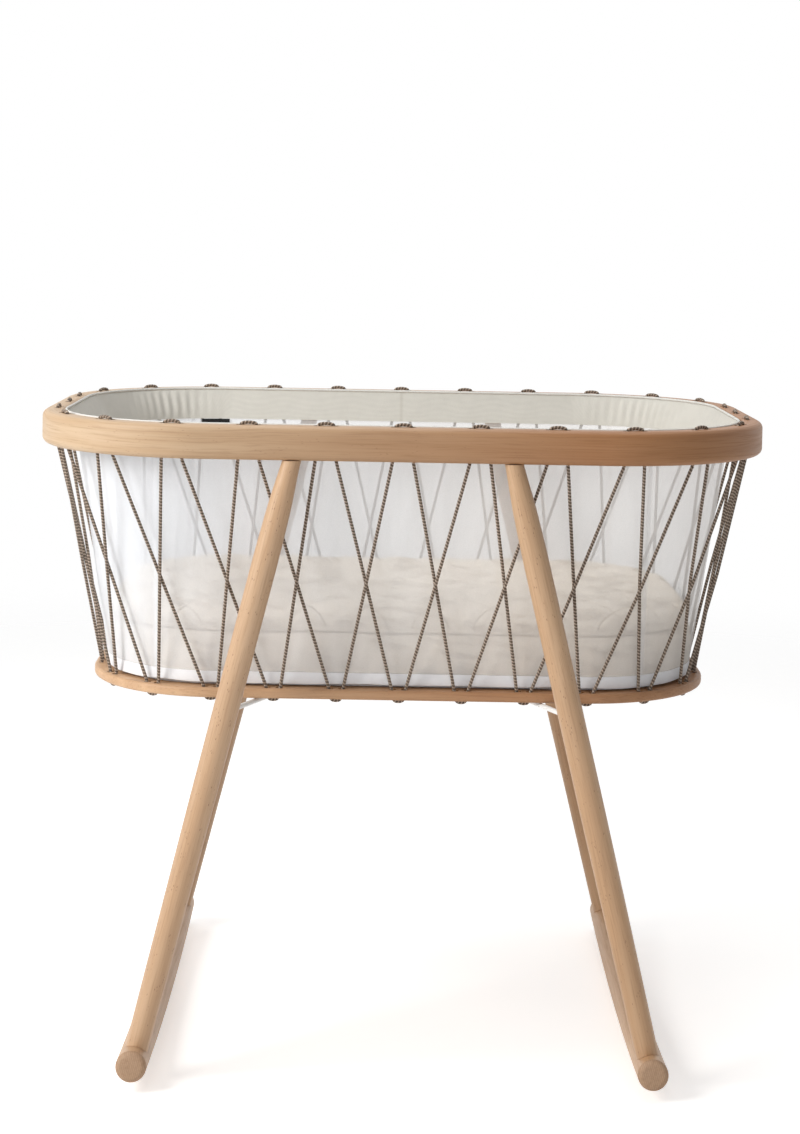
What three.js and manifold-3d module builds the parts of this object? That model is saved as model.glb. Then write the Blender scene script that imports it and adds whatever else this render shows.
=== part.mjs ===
// A rocking baby cradle. A bent wooden rim stands on four tapered legs and two
// curved rocker rods. A wooden base board is slung below the rim by two cords
// laced round both, and a cloth and net liner with a mattress fills the basket.
// Millimetres, +Z up, +X along the cradle, -Y towards the front.
// The origin is on the floor, under the middle of the cradle.

import * as THREE from 'three';
import { mergeGeometries, mergeVertices } from 'three/addons/utils/BufferGeometryUtils.js';
import Module from 'manifold-3d';

const wasm = await Module();
wasm.setup();

// Fits shared by every piece
const seatGap = 0.3;
const cutOverrun = 6;

// Rim, a bent ring of wood with rounded ends
const rimTop = 779;
const rimLength = 894;
const rimWidth = 600;
const rimCorner = 210;
const rimThickness = 26;
const rimHeight = 40;
const rimOuterRound = 8;
const rimInnerRound = 4;

// Base board, slung below the rim
const boardTop = 458;
const boardLength = 764;
const boardWidth = 450;
const boardCorner = 159;
const boardThickness = 12;
const boardRound = 3.5;

// Lacing cords, each a single length knotted at both ends
const loopCount = 28;
const cordDiameter = 4;
const cordHoleDiameter = 9;
const rimHoleInset = 17.5;
const rimHoleSpan = 21.2;
const boardHoleInset = 9;
const boardHoleSpan = 14.2;
const cordLean = 1.6;
const cordRise = 0.4;
const cordBendOut = 1.2;
const cordShoulder = 3.5;
const knotDiameter = 11;
const knotLength = 9;
const cordTail = 12;

// Rockers, round rods bent to a large arc
const rockerDiameter = 36;
const rockerArcRadius = 3530;
const rockerHalfLength = 314;
const rockerSpacing = 607;
const rockerEndRound = 3;

// Legs, tapered round rods
const legTopSpacing = 258;
const legFootFromEnd = 38;
const legTopDiameter = 21;
const legShoulderDiameter = 28;
const legDiameter = 30;
const legFootDiameter = 27;
const legShoulderDrop = 55;
const legTaperDrop = 115;
const legFootTaper = 320;

// Hidden joint of each leg to the rim: a threaded stud in a sleeve
const studDiameter = 8;
const studInRim = 21;
const studInLeg = 32;
const sleeveDiameter = 12;
const sleeveLength = 19;
const sleeveSink = 2;

// Hidden joint of each leg to its rocker: a bolt from below into a sleeve
const boltHeadDiameter = 13;
const boltHeadHeight = 5;
const boltHeadSeat = 9;
const boltReach = 42;
const footSleeveStart = 22;

// Steel brace below the base board
const hubLength = 180;
const hubWidth = 36;
const hubThickness = 7;
const braceRodDiameter = 6;
const braceRootX = 70;
const braceRootY = 9;
const hubScrewX = 30;
const hubScrewY = 9;
const screwDiameter = 4;
const screwGrip = 8;
const screwHeadDiameter = 8;
const screwHeadHeight = 2.4;

// Liner: a cotton band in the rim, a net wall, a hem and a thin floor
const linerDrop = 2.2;
const stripThickness = 1.5;
const stripHeight = 18;
const stripDrop = 1;
const bandThickness = 1.6;
const bandHeight = 39.5;
const bandDraw = 16;
const foldDepth = 1.8;
const foldCount = 5;
const foldHeightShare = 0.5;
const pipingDiameter = 3;
const netThickness = 1;
const hemThickness = 1.6;
const hemHeight = 15;
const linerInset = 6;
const linerFloorThickness = 2;
const linerFloorInset = 1;

// Plain dark tag sewn under the band
const tagWidth = 39;
const tagHeight = 15;
const tagThickness = 0.8;
const tagStandOff = 0.7;
const tagFromMiddle = 260.5;
const tagLengthShares = [-0.5, -0.25, 0, 0.25, 0.5];

// Mattress: a foam core in a quilted cover
const mattressInset = 2.5;
const mattressSeam = 63;
const mattressCrown = 34;
const crownRun = 40;
const sideDraw = 3;
const seamDraw = 4;
const coverSide = 5;
const coverTop = 22;
const quiltPitch = 37;
const quiltDepth = 5;
const sideFlatShares = [0.25, 0.75];
const crownRiseShare = 0.25;
const crownEdgeShare = 0.4;

// Facet counts
const cornerSteps = 8;
const foldSteps = 4;
const legSides = 16;
const rockerSides = 16;
const rockerSteps = 11;
const cordSides = 6;
const holeSides = 6;
const boreSides = 8;
const roundSteps = 2;
const pipingSides = 6;

// Heights and outlines worked out from the sizes above
const rimBottom = rimTop - rimHeight;
const boardBottom = boardTop - boardThickness;
const cordRadius = cordDiameter / 2;
const rimPlan = plan(rimLength / 2, rimWidth / 2, rimCorner);
const rimInnerPlan = grown(rimPlan, -rimThickness);
const rimCordPlan = grown(rimPlan, -rimHoleInset);
const boardPlan = plan(boardLength / 2, boardWidth / 2, boardCorner);
const boardCordPlan = grown(boardPlan, -boardHoleInset);
const stripPlan = grown(rimInnerPlan, -seatGap);
const bandTopPlan = grown(stripPlan, -stripThickness - seatGap);
const bandLowPlan = grown(bandTopPlan, -bandDraw);
const linerPlan = grown(boardCordPlan, -linerInset);
const linerTop = rimTop - linerDrop;
const bandTop = linerTop - seatGap;
const bandBottom = bandTop - bandHeight;
const linerFloorTop = boardTop + seatGap + linerFloorThickness;
const hemBottom = linerFloorTop + seatGap;
const hemTop = hemBottom + hemHeight;
const mattressBottom = linerFloorTop + seatGap;
const mattressPlan = grown(linerPlan, -mattressInset);
const hubTop = boardBottom - seatGap;
const braceHeight = hubTop - hubThickness / 2;

// Plan outlines: rounded rectangles, walked from the back middle towards +X

function plan(halfLength, halfWidth, corner) {
  return { halfLength, halfWidth, corner };
}

function grown({ halfLength, halfWidth, corner }, distance) {
  return plan(halfLength + distance, halfWidth + distance, corner + distance);
}

function between(from, to, share) {
  return plan(
    THREE.MathUtils.lerp(from.halfLength, to.halfLength, share),
    THREE.MathUtils.lerp(from.halfWidth, to.halfWidth, share),
    THREE.MathUtils.lerp(from.corner, to.corner, share),
  );
}

// Points round a plan, each with its outward normal. Every plan walked with the
// same steps gives as many points, so outlines of any size can be joined.
function stations({ halfLength, halfWidth, corner }, steps) {
  const points = [];
  for (let quarter = 0; quarter < 4; quarter += 1) {
    const sideX = quarter < 2 ? 1 : -1;
    const sideY = quarter === 0 || quarter === 3 ? 1 : -1;
    for (let step = 0; step <= steps; step += 1) {
      const angle = (Math.PI / 2) * (1 - quarter - step / steps);
      const normal = new THREE.Vector2(Math.cos(angle), Math.sin(angle));
      const reach = corner * facetShare(step / steps);
      const x = sideX * (halfLength - corner) + normal.x * reach;
      const y = sideY * (halfWidth - corner) + normal.y * reach;
      points.push({ x, y, normal });
    }
  }
  return points;
}

// Points between two facet edges of a corner lie on the straight facet, so that
// rings divided more finely keep the same facets and the same gaps.
function facetShare(quarterShare) {
  const facet = Math.PI / 2 / cornerSteps;
  const fromEdge = (quarterShare * cornerSteps) % 1;
  return Math.cos(facet / 2) / Math.cos((fromEdge - 0.5) * facet);
}

function perimeter({ halfLength, halfWidth, corner }) {
  return 4 * (halfLength - corner) + 4 * (halfWidth - corner) + 2 * Math.PI * corner;
}

// The point at a distance along a plan, from the back middle towards +X
function pointAlong(outline, distance) {
  const { halfLength, halfWidth, corner } = outline;
  const total = perimeter(outline);
  const along = ((distance % total) + total) % total;
  const runs = [
    { start: [0, halfWidth], heading: 0, length: halfLength - corner },
    { centre: [halfLength - corner, halfWidth - corner], from: Math.PI / 2 },
    { start: [halfLength, halfWidth - corner], heading: -Math.PI / 2, length: 2 * (halfWidth - corner) },
    { centre: [halfLength - corner, corner - halfWidth], from: 0 },
    { start: [halfLength - corner, -halfWidth], heading: Math.PI, length: 2 * (halfLength - corner) },
    { centre: [corner - halfLength, corner - halfWidth], from: -Math.PI / 2 },
    { start: [-halfLength, corner - halfWidth], heading: Math.PI / 2, length: 2 * (halfWidth - corner) },
    { centre: [corner - halfLength, halfWidth - corner], from: Math.PI },
    { start: [corner - halfLength, halfWidth], heading: 0, length: halfLength - corner },
  ];
  let rest = along;
  for (const run of runs) {
    const length = run.centre ? (Math.PI / 2) * corner : run.length;
    if (rest <= length) {
      if (run.centre) {
        const angle = run.from - rest / corner;
        const normal = new THREE.Vector2(Math.cos(angle), Math.sin(angle));
        return { x: run.centre[0] + corner * normal.x, y: run.centre[1] + corner * normal.y, normal };
      }
      const normal = new THREE.Vector2(-Math.sin(run.heading), Math.cos(run.heading));
      const x = run.start[0] + rest * Math.cos(run.heading);
      const y = run.start[1] + rest * Math.sin(run.heading);
      return { x, y, normal };
    }
    rest -= length;
  }
  return pointAlong(outline, 0);
}

// Closed meshes from rows of points

// Turns points and triangles into a geometry whose faces point outwards
function closedGeometry(points, triangles) {
  const edgeA = new THREE.Vector3();
  let volume = 0;
  for (const [a, b, c] of triangles) {
    volume += edgeA.crossVectors(points[b], points[c]).dot(points[a]);
  }
  const index = triangles.flatMap(([a, b, c]) => (volume < 0 ? [a, c, b] : [a, b, c]));
  const geometry = new THREE.BufferGeometry().setFromPoints(points);
  geometry.setIndex(index);
  geometry.computeVertexNormals();
  return geometry;
}

// Joins rows of equal length, each a closed loop. The rows end in flat caps, or
// the last row meets the first when the rows close on themselves.
function loft(rows, rowsClose = false) {
  const width = rows[0].length;
  const points = rows.flat();
  const triangles = [];
  const bands = rowsClose ? rows.length : rows.length - 1;
  for (let row = 0; row < bands; row += 1) {
    const next = (row + 1) % rows.length;
    for (let column = 0; column < width; column += 1) {
      const side = (column + 1) % width;
      const [a, b] = [row * width + column, row * width + side];
      const [c, d] = [next * width + column, next * width + side];
      triangles.push([a, b, d], [a, d, c]);
    }
  }
  if (!rowsClose) {
    for (const [row, turned] of [[0, true], [rows.length - 1, false]]) {
      const centre = points.length;
      const sum = rows[row].reduce((total, point) => total.add(point), new THREE.Vector3());
      points.push(sum.divideScalar(width));
      for (let column = 0; column < width; column += 1) {
        const a = row * width + column;
        const b = row * width + ((column + 1) % width);
        triangles.push(turned ? [b, a, centre] : [a, b, centre]);
      }
    }
  }
  return closedGeometry(points, triangles);
}

function outlineRow(outline, z, steps = cornerSteps) {
  return stations(outline, steps).map(({ x, y }) => new THREE.Vector3(x, y, z));
}

// A wall round a plan: a closed profile of [outline, height] pairs
function wallRing(profile, steps = cornerSteps) {
  return loft(profile.map(([outline, z]) => outlineRow(outline, z, steps)), true);
}

// Points of a quarter-round edge, as [inset, height] from its outer corner
function roundEdge(radius, steps) {
  const points = [];
  for (let step = 0; step <= steps; step += 1) {
    const angle = (Math.PI / 2) * (step / steps);
    points.push([radius * (1 - Math.cos(angle)), radius * (1 - Math.sin(angle))]);
  }
  return points;
}

// A cylinder or cone between two points
function rodBetween(from, to, radiusFrom, radiusTo, sides) {
  const axis = new THREE.Vector3().subVectors(to, from);
  const geometry = new THREE.CylinderGeometry(radiusTo, radiusFrom, axis.length(), sides);
  const turn = new THREE.Quaternion().setFromUnitVectors(THREE.Object3D.DEFAULT_UP, axis.clone().normalize());
  geometry.applyQuaternion(turn);
  const middle = new THREE.Vector3().addVectors(from, to).multiplyScalar(0.5);
  return geometry.translate(middle.x, middle.y, middle.z);
}

// Booleans

function bare(geometry) {
  const copy = geometry.clone();
  copy.deleteAttribute('normal');
  copy.deleteAttribute('uv');
  return mergeVertices(copy);
}

function solidOf(geometry) {
  const merged = bare(geometry);
  const vertProperties = Float32Array.from(merged.attributes.position.array);
  const triVerts = Uint32Array.from(merged.index.array);
  return new wasm.Manifold(new wasm.Mesh({ numProp: 3, vertProperties, triVerts }));
}

function geometryOf(solid) {
  const mesh = solid.getMesh();
  const geometry = new THREE.BufferGeometry();
  geometry.setAttribute('position', new THREE.BufferAttribute(Float32Array.from(mesh.vertProperties), 3));
  geometry.setIndex(new THREE.BufferAttribute(Uint32Array.from(mesh.triVerts), 1));
  geometry.computeVertexNormals();
  return geometry;
}

// Cuts tools that lie apart from each other out of a geometry in one go
function cut(geometry, tools) {
  return geometryOf(solidOf(geometry).subtract(solidOf(mergeGeometries(tools.map(bare)))));
}

function finish(color, roughness, metalness = 0) {
  return new THREE.MeshStandardMaterial({ color, roughness, metalness });
}

const cradle = new THREE.Group();
const mattress = new THREE.Group();
cradle.add(mattress);

function addPiece(name, geometry, material, group = cradle) {
  const mesh = new THREE.Mesh(geometry, material);
  mesh.name = name;
  group.add(mesh);
  return mesh;
}

const beech = () => finish(0xd9b68c, 0.55);
const steel = () => finish(0xb9bbbd, 0.35, 1);

// Rockers

const rockerRadius = rockerDiameter / 2;
const rockerStepAngle = (2 * Math.asin(rockerHalfLength / rockerArcRadius)) / rockerSteps;
const rockerArcCentre = (rockerArcRadius + rockerRadius) * Math.cos(rockerStepAngle / 2);

function rockerAxisHeight(y) {
  return rockerArcCentre - Math.sqrt(rockerArcRadius ** 2 - y ** 2);
}

// A rod bent to the rocker's arc, with a flat side down and a level middle step
function rockerRod(radius, halfLength, endRound) {
  const reach = Math.asin(halfLength / rockerArcRadius);
  const edge = endRound / rockerArcRadius;
  const places = [[-reach, radius - endRound], [-reach + edge, radius]];
  for (let step = 1; step < rockerSteps; step += 1) {
    places.push([(step - rockerSteps / 2) * rockerStepAngle, radius]);
  }
  places.push([reach - edge, radius], [reach, radius - endRound]);
  const rows = places.map(([angle, flat]) => {
    const row = [];
    for (let side = 0; side < rockerSides; side += 1) {
      const turn = ((side + 0.5) / rockerSides) * 2 * Math.PI;
      const corner = flat / Math.cos(Math.PI / rockerSides);
      const drop = rockerArcRadius + corner * Math.cos(turn);
      const y = drop * Math.sin(angle);
      row.push(new THREE.Vector3(corner * Math.sin(turn), y, rockerArcCentre - drop * Math.cos(angle)));
    }
    return row;
  });
  return loft(rows);
}

// Legs, with the line of each from its rocker's axis to the rim's underside

const corners = [
  { name: 'front_left', sideX: -1, sideY: -1 },
  { name: 'front_right', sideX: 1, sideY: -1 },
  { name: 'back_left', sideX: -1, sideY: 1 },
  { name: 'back_right', sideX: 1, sideY: 1 },
];

function legLine({ sideX, sideY }) {
  const footY = sideY * (rockerHalfLength - legFootFromEnd);
  const topY = sideY * ((rimWidth - rimThickness) / 2);
  const foot = new THREE.Vector3(sideX * (rockerSpacing / 2), footY, rockerAxisHeight(footY));
  const top = new THREE.Vector3(sideX * (legTopSpacing / 2), topY, rimBottom);
  const along = new THREE.Vector3().subVectors(top, foot).normalize();
  const turn = new THREE.Quaternion().setFromUnitVectors(THREE.Object3D.DEFAULT_UP, along);
  return { foot, top, along, turn, length: foot.distanceTo(top) };
}

function onLine(point, along, distance) {
  return point.clone().addScaledVector(along, distance);
}

function boreAlong(point, along, from, to, diameter) {
  const radius = diameter / 2 + seatGap;
  return rodBetween(onLine(point, along, from), onLine(point, along, to), radius, radius, boreSides);
}

// Where the brace rod of a corner enters its leg, and its root in the hub
function braceLine(corner) {
  const { foot, along } = legLine(corner);
  const legPoint = onLine(foot, along, (braceHeight - foot.z) / along.z);
  const root = new THREE.Vector3(corner.sideX * braceRootX, corner.sideY * braceRootY, braceHeight);
  const outwards = new THREE.Vector3().subVectors(legPoint, root).normalize();
  return { root, legPoint, outwards };
}

function legGeometry(corner) {
  const { foot, top, along, turn, length } = legLine(corner);
  const profile = [
    [0, 0],
    [legFootDiameter / 2, 0],
    [legDiameter / 2, legFootTaper],
    [legDiameter / 2, length - legTaperDrop],
    [legShoulderDiameter / 2, length - legShoulderDrop],
    [legTopDiameter / 2, length],
    [legTopDiameter / 2, length + cutOverrun],
    [0, length + cutOverrun],
  ];
  const blank = new THREE.LatheGeometry(profile.map(([x, y]) => new THREE.Vector2(x, y)), legSides);
  blank.applyQuaternion(turn).translate(foot.x, foot.y, foot.z);
  const cope = rockerRod(rockerRadius + seatGap, rockerHalfLength, 0).translate(foot.x, 0, 0);
  const above = new THREE.BoxGeometry(legDiameter, legDiameter, 2 * cutOverrun);
  above.translate(top.x, top.y, rimBottom - seatGap + cutOverrun);
  const { legPoint, outwards } = braceLine(corner);
  const studBore = boreAlong(top, along, -studInLeg - seatGap, cutOverrun, studDiameter);
  const footBore = boreAlong(foot, along, 0, boltReach + seatGap, sleeveDiameter);
  const braceBore = boreAlong(legPoint, outwards, -legDiameter, seatGap, braceRodDiameter);
  const seated = geometryOf(solidOf(blank).subtract(solidOf(cope)).subtract(solidOf(above)));
  return cut(seated, [studBore, footBore, braceBore]);
}

function rockerGeometry(sideX) {
  const blank = rockerRod(rockerRadius, rockerHalfLength, rockerEndRound);
  blank.translate(sideX * (rockerSpacing / 2), 0, 0);
  const ends = corners.filter((corner) => corner.sideX === sideX).map(legLine);
  const bores = ends.map(({ foot, along }) => {
    return boreAlong(foot, along, -rockerRadius, rockerRadius + cutOverrun, studDiameter);
  });
  const sinks = ends.map(({ foot, along }) => {
    return boreAlong(foot, along, -rockerRadius - cutOverrun, -boltHeadSeat + seatGap, boltHeadDiameter);
  });
  return cut(cut(blank, bores), sinks);
}

for (const [name, sideX] of [['rocker_left', -1], ['rocker_right', 1]]) {
  addPiece(name, rockerGeometry(sideX), beech());
}

for (const corner of corners) {
  addPiece(`leg_${corner.name}`, legGeometry(corner), beech());
}

// Fasteners, turned about the line that they lie on

function turned(profile, sides = boreSides) {
  return new THREE.LatheGeometry(profile.map(([x, y]) => new THREE.Vector2(x, y)), sides);
}

function sleeveGeometry() {
  const inner = studDiameter / 2 + seatGap;
  const outer = sleeveDiameter / 2;
  return turned([[inner, 0], [outer, 0], [outer, sleeveLength], [inner, sleeveLength], [inner, 0]]);
}

function studGeometry() {
  const radius = studDiameter / 2;
  return turned([[0, -studInLeg], [radius, -studInLeg], [radius, studInRim], [0, studInRim]]);
}

function headedGeometry(radius, length, headRadius, headHeight) {
  return turned([
    [0, -headHeight],
    [headRadius, -headHeight],
    [headRadius, 0],
    [radius, 0],
    [radius, length],
    [0, length],
  ]);
}

function placeOnLine(mesh, point, along, distance, turn) {
  mesh.position.copy(onLine(point, along, distance));
  mesh.quaternion.copy(turn);
}

for (const corner of corners) {
  const { foot, top, along, turn } = legLine(corner);
  const rimSleeve = addPiece(`rim_sleeve_${corner.name}`, sleeveGeometry(), steel());
  placeOnLine(rimSleeve, top, along, sleeveSink, turn);
  const stud = addPiece(`leg_stud_${corner.name}`, studGeometry(), steel());
  placeOnLine(stud, top, along, 0, turn);
  const footSleeve = addPiece(`foot_sleeve_${corner.name}`, sleeveGeometry(), steel());
  placeOnLine(footSleeve, foot, along, footSleeveStart, turn);
  const boltShank = boltHeadSeat + boltReach - seatGap;
  const boltShape = headedGeometry(studDiameter / 2, boltShank, boltHeadDiameter / 2, boltHeadHeight);
  const bolt = addPiece(`foot_bolt_${corner.name}`, boltShape, steel());
  placeOnLine(bolt, foot, along, -boltHeadSeat, turn);
}

// Holes that the cords run through

function cordStation(outline, place, offset) {
  const pitch = perimeter(outline) / loopCount;
  return pointAlong(outline, place * pitch + offset);
}

function cordHoles(outline, span, low, high) {
  const radius = cordHoleDiameter / 2;
  const holes = [];
  for (let place = 0; place < loopCount; place += 1) {
    for (const side of [-1, 1]) {
      const { x, y, normal } = cordStation(outline, place, (side * span) / 2);
      const hole = new THREE.CylinderGeometry(radius, radius, high - low, holeSides);
      hole.rotateY(Math.PI / 2);
      hole.rotateX(Math.PI / 2);
      hole.rotateZ(Math.atan2(normal.y, normal.x) + Math.PI / 2);
      holes.push(hole.translate(x, y, (low + high) / 2));
    }
  }
  return holes;
}

// Rim

// The rim's section goes up the outer side and down the inner side
function rimGeometry() {
  const outer = roundEdge(rimOuterRound, roundSteps);
  const inner = roundEdge(rimInnerRound, roundSteps - 1);
  return wallRing([
    ...[...outer].reverse().map(([inset, rise]) => [grown(rimPlan, -inset), rimBottom + rise]),
    ...outer.map(([inset, drop]) => [grown(rimPlan, -inset), rimTop - drop]),
    ...[...inner].reverse().map(([inset, drop]) => [grown(rimInnerPlan, inset), rimTop - drop]),
    ...inner.map(([inset, rise]) => [grown(rimInnerPlan, inset), rimBottom + rise]),
  ]);
}

function rimWithHoles() {
  const holes = cordHoles(rimCordPlan, rimHoleSpan, rimBottom - cutOverrun, rimTop + cutOverrun);
  const depth = sleeveSink + sleeveLength + seatGap;
  for (const corner of corners) {
    const { top, along } = legLine(corner);
    holes.push(boreAlong(top, along, -cutOverrun, depth, sleeveDiameter));
  }
  return cut(rimGeometry(), holes);
}

addPiece('top_rim', rimWithHoles(), beech());

// Base board

const hubScrews = [[-1, -1], [1, -1], [-1, 1], [1, 1]].map(([sideX, sideY]) => {
  return { x: sideX * hubScrewX, y: sideY * hubScrewY };
});

function uprightBore(x, y, low, high, diameter) {
  const from = new THREE.Vector3(x, y, low);
  const to = new THREE.Vector3(x, y, high);
  const radius = diameter / 2 + seatGap;
  return rodBetween(from, to, radius, radius, boreSides);
}

function boardGeometry() {
  const edge = roundEdge(boardRound, roundSteps - 1);
  const lower = edge.map(([inset, drop]) => outlineRow(grown(boardPlan, -inset), boardBottom + drop));
  const upper = edge.map(([inset, drop]) => outlineRow(grown(boardPlan, -inset), boardTop - drop));
  const holes = cordHoles(boardCordPlan, boardHoleSpan, boardBottom - cutOverrun, boardTop + cutOverrun);
  for (const { x, y } of hubScrews) {
    holes.push(uprightBore(x, y, boardBottom - cutOverrun, boardBottom + screwGrip + seatGap, screwDiameter));
  }
  return cut(loft([...lower.reverse(), ...upper]), holes);
}

addPiece('base_board', boardGeometry(), beech());

// Brace: a hub screwed under the board, with a rod to each leg

function hubGeometry() {
  const hub = new THREE.BoxGeometry(hubLength, hubWidth, hubThickness).translate(0, 0, braceHeight);
  const sockets = corners.map((corner) => {
    const { root, outwards } = braceLine(corner);
    return boreAlong(root, outwards, -seatGap, hubWidth, braceRodDiameter);
  });
  const bores = hubScrews.map(({ x, y }) => {
    return uprightBore(x, y, hubTop - hubThickness - cutOverrun, hubTop + cutOverrun, screwDiameter);
  });
  return cut(hub, [...sockets, ...bores]);
}

addPiece('brace_hub', hubGeometry(), finish(0xf1f1ef, 0.45));

for (const corner of corners) {
  const { root, legPoint } = braceLine(corner);
  const radius = braceRodDiameter / 2;
  const rod = rodBetween(root, legPoint, radius, radius, boreSides);
  addPiece(`brace_rod_${corner.name}`, rod, finish(0xf1f1ef, 0.45));
}

hubScrews.forEach(({ x, y }, place) => {
  const length = hubThickness + screwGrip;
  const shape = headedGeometry(screwDiameter / 2, length, screwHeadDiameter / 2, screwHeadHeight);
  const screw = addPiece(`hub_screw_${place + 1}`, shape, steel());
  screw.rotation.x = Math.PI / 2;
  screw.position.set(x, y, hubTop - hubThickness - seatGap);
});

// Lacing

// A point beside a rim loop or a board loop, out by a distance from its line
function lacingPoint(outline, place, offset, z) {
  const { x, y } = cordStation(outline, place, offset);
  return new THREE.Vector3(x, y, z);
}

// The two strands that cross in a bay, from the rim's hole to the board's. They
// leave both holes on the side away from the loop.
function bayStrands(bay) {
  const top = rimBottom - cordBendOut;
  const low = boardTop + cordBendOut;
  const rimHalf = rimHoleSpan / 2 + cordLean;
  const boardHalf = boardHoleSpan / 2 + cordLean;
  const rightwards = [
    lacingPoint(rimCordPlan, bay, rimHalf, top),
    lacingPoint(boardCordPlan, bay + 1, -boardHalf, low),
  ];
  const leftwards = [
    lacingPoint(rimCordPlan, bay + 1, -rimHalf, top),
    lacingPoint(boardCordPlan, bay, boardHalf, low),
  ];
  return { rightwards, leftwards };
}

// Where the strands of a bay pass each other, the rightward one outside
function bayCrossing(bay) {
  const { rightwards, leftwards } = bayStrands(bay);
  const runA = new THREE.Vector3().subVectors(rightwards[1], rightwards[0]);
  const runB = new THREE.Vector3().subVectors(leftwards[1], leftwards[0]);
  const apart = new THREE.Vector3().subVectors(rightwards[0], leftwards[0]);
  const normal = new THREE.Vector3().crossVectors(runA, runB).normalize();
  const middle = new THREE.Vector3().addVectors(rightwards[0], leftwards[0]).setZ(0);
  if (normal.dot(middle) < 0) {
    normal.negate();
  }
  const [aa, ab, bb] = [runA.dot(runA), runA.dot(runB), runB.dot(runB)];
  const [ad, bd] = [runA.dot(apart), runB.dot(apart)];
  const shareA = (ab * bd - bb * ad) / (aa * bb - ab * ab);
  const shareB = (aa * bd - ab * ad) / (aa * bb - ab * ab);
  const onA = onLine(rightwards[0], runA, shareA);
  const onB = onLine(leftwards[0], runB, shareB);
  const centre = onA.add(onB).multiplyScalar(0.5);
  const offset = cordRadius + seatGap / 2;
  return { outer: onLine(centre, normal, offset), inner: onLine(centre, normal, -offset) };
}

// The cord over the rim, from its left hole to its right one
function rimLoop(place) {
  const outer = rimHoleSpan / 2 + cordLean;
  const inner = rimHoleSpan / 2 - cordLean;
  const steps = [
    [-outer, rimBottom - cordBendOut],
    [-inner, rimTop + cordBendOut],
    [cordShoulder - inner, rimTop + cordRadius + cordRise],
    [inner - cordShoulder, rimTop + cordRadius + cordRise],
    [inner, rimTop + cordBendOut],
    [outer, rimBottom - cordBendOut],
  ];
  return steps.map(([offset, z]) => lacingPoint(rimCordPlan, place, offset, z));
}

// The cord under the board, from its left hole to its right one
function boardLoop(place) {
  const outer = boardHoleSpan / 2 + cordLean;
  const inner = boardHoleSpan / 2 - cordLean;
  const steps = [
    [-outer, boardTop + cordBendOut],
    [-inner, boardBottom - cordBendOut],
    [cordShoulder - inner, boardBottom - cordRadius - cordRise],
    [inner - cordShoulder, boardBottom - cordRadius - cordRise],
    [inner, boardBottom - cordBendOut],
    [outer, boardTop + cordBendOut],
  ];
  return steps.map(([offset, z]) => lacingPoint(boardCordPlan, place, offset, z));
}

// The knotted end under the board, from the board's top face down
function knotEnd(side) {
  const under = boardBottom - seatGap;
  return (place) => {
    const inner = boardHoleSpan / 2;
    const steps = [
      [inner + cordLean, boardTop + cordBendOut, cordRadius],
      [inner, under, cordRadius],
      [inner, under - cordRise, knotDiameter / 2],
      [inner, under - cordRise - knotLength, knotDiameter / 2],
      [inner, under - 2 * cordRise - knotLength, cordRadius],
      [inner, under - 2 * cordRise - knotLength - cordTail, cordRadius],
    ];
    return steps.map(([offset, z, radius]) => {
      return { point: lacingPoint(boardCordPlan, place, side * offset, z), radius };
    });
  };
}

const knotRight = knotEnd(1);
const knotLeft = knotEnd(-1);

// One cord's route: it starts knotted at a board place, takes every second rim
// place and the board places between them, and ends knotted where it started.
function cordRoute(start) {
  const plain = (points) => points.map((point) => ({ point, radius: cordRadius }));
  const route = [...knotRight(start)].reverse();
  for (let step = 0; step < loopCount; step += 2) {
    const rimPlace = start + step + 1;
    route.push({ point: bayCrossing(rimPlace - 1).inner, radius: cordRadius });
    route.push(...plain(rimLoop(rimPlace)));
    route.push({ point: bayCrossing(rimPlace).outer, radius: cordRadius });
    if (step + 2 < loopCount) {
      route.push(...plain(boardLoop(rimPlace + 1)));
    }
  }
  route.push(...knotLeft(start));
  return route;
}

// A tube along a route of straight runs, mitred where they meet
function cordGeometry(route) {
  const points = route.map(({ point }) => point);
  const heading = (place) => new THREE.Vector3().subVectors(points[place + 1], points[place]).normalize();
  const last = points.length - 1;
  let across = new THREE.Vector3().crossVectors(heading(0), new THREE.Vector3(1, 0, 0)).normalize();
  const rows = [];
  for (let place = 0; place <= last; place += 1) {
    const before = heading(Math.max(place - 1, 0));
    const after = heading(Math.min(place, last - 1));
    const mitre = new THREE.Vector3().addVectors(before, after).normalize();
    const beside = new THREE.Vector3().crossVectors(before, across);
    const row = [];
    for (let side = 0; side < cordSides; side += 1) {
      const angle = (side / cordSides) * 2 * Math.PI;
      const spoke = across.clone().multiplyScalar(Math.cos(angle)).addScaledVector(beside, Math.sin(angle));
      spoke.multiplyScalar(route[place].radius);
      spoke.addScaledVector(before, -spoke.dot(mitre) / before.dot(mitre));
      row.push(spoke.add(points[place]));
    }
    rows.push(row);
    const bend = new THREE.Quaternion().setFromUnitVectors(before, after);
    across = across.clone().applyQuaternion(bend).normalize();
  }
  return loft(rows);
}

for (const [name, start] of [['lacing_cord_a', 1], ['lacing_cord_b', 0]]) {
  addPiece(name, cordGeometry(cordRoute(start)), finish(0x6f6156, 0.9));
}

// Liner

// How far the cotton stands in from its outline: gathers in each rounded corner
function gather(index, steps) {
  const step = index % (steps + 1);
  return foldDepth * (0.5 - 0.5 * Math.cos((2 * Math.PI * foldCount * step) / steps));
}

function gatheredRow(outline, z, depthShare) {
  const steps = foldCount * foldSteps;
  return stations(outline, steps).map((station, index) => {
    const inset = depthShare * gather(index, steps);
    return new THREE.Vector3(station.x - inset * station.normal.x, station.y - inset * station.normal.y, z);
  });
}

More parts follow.
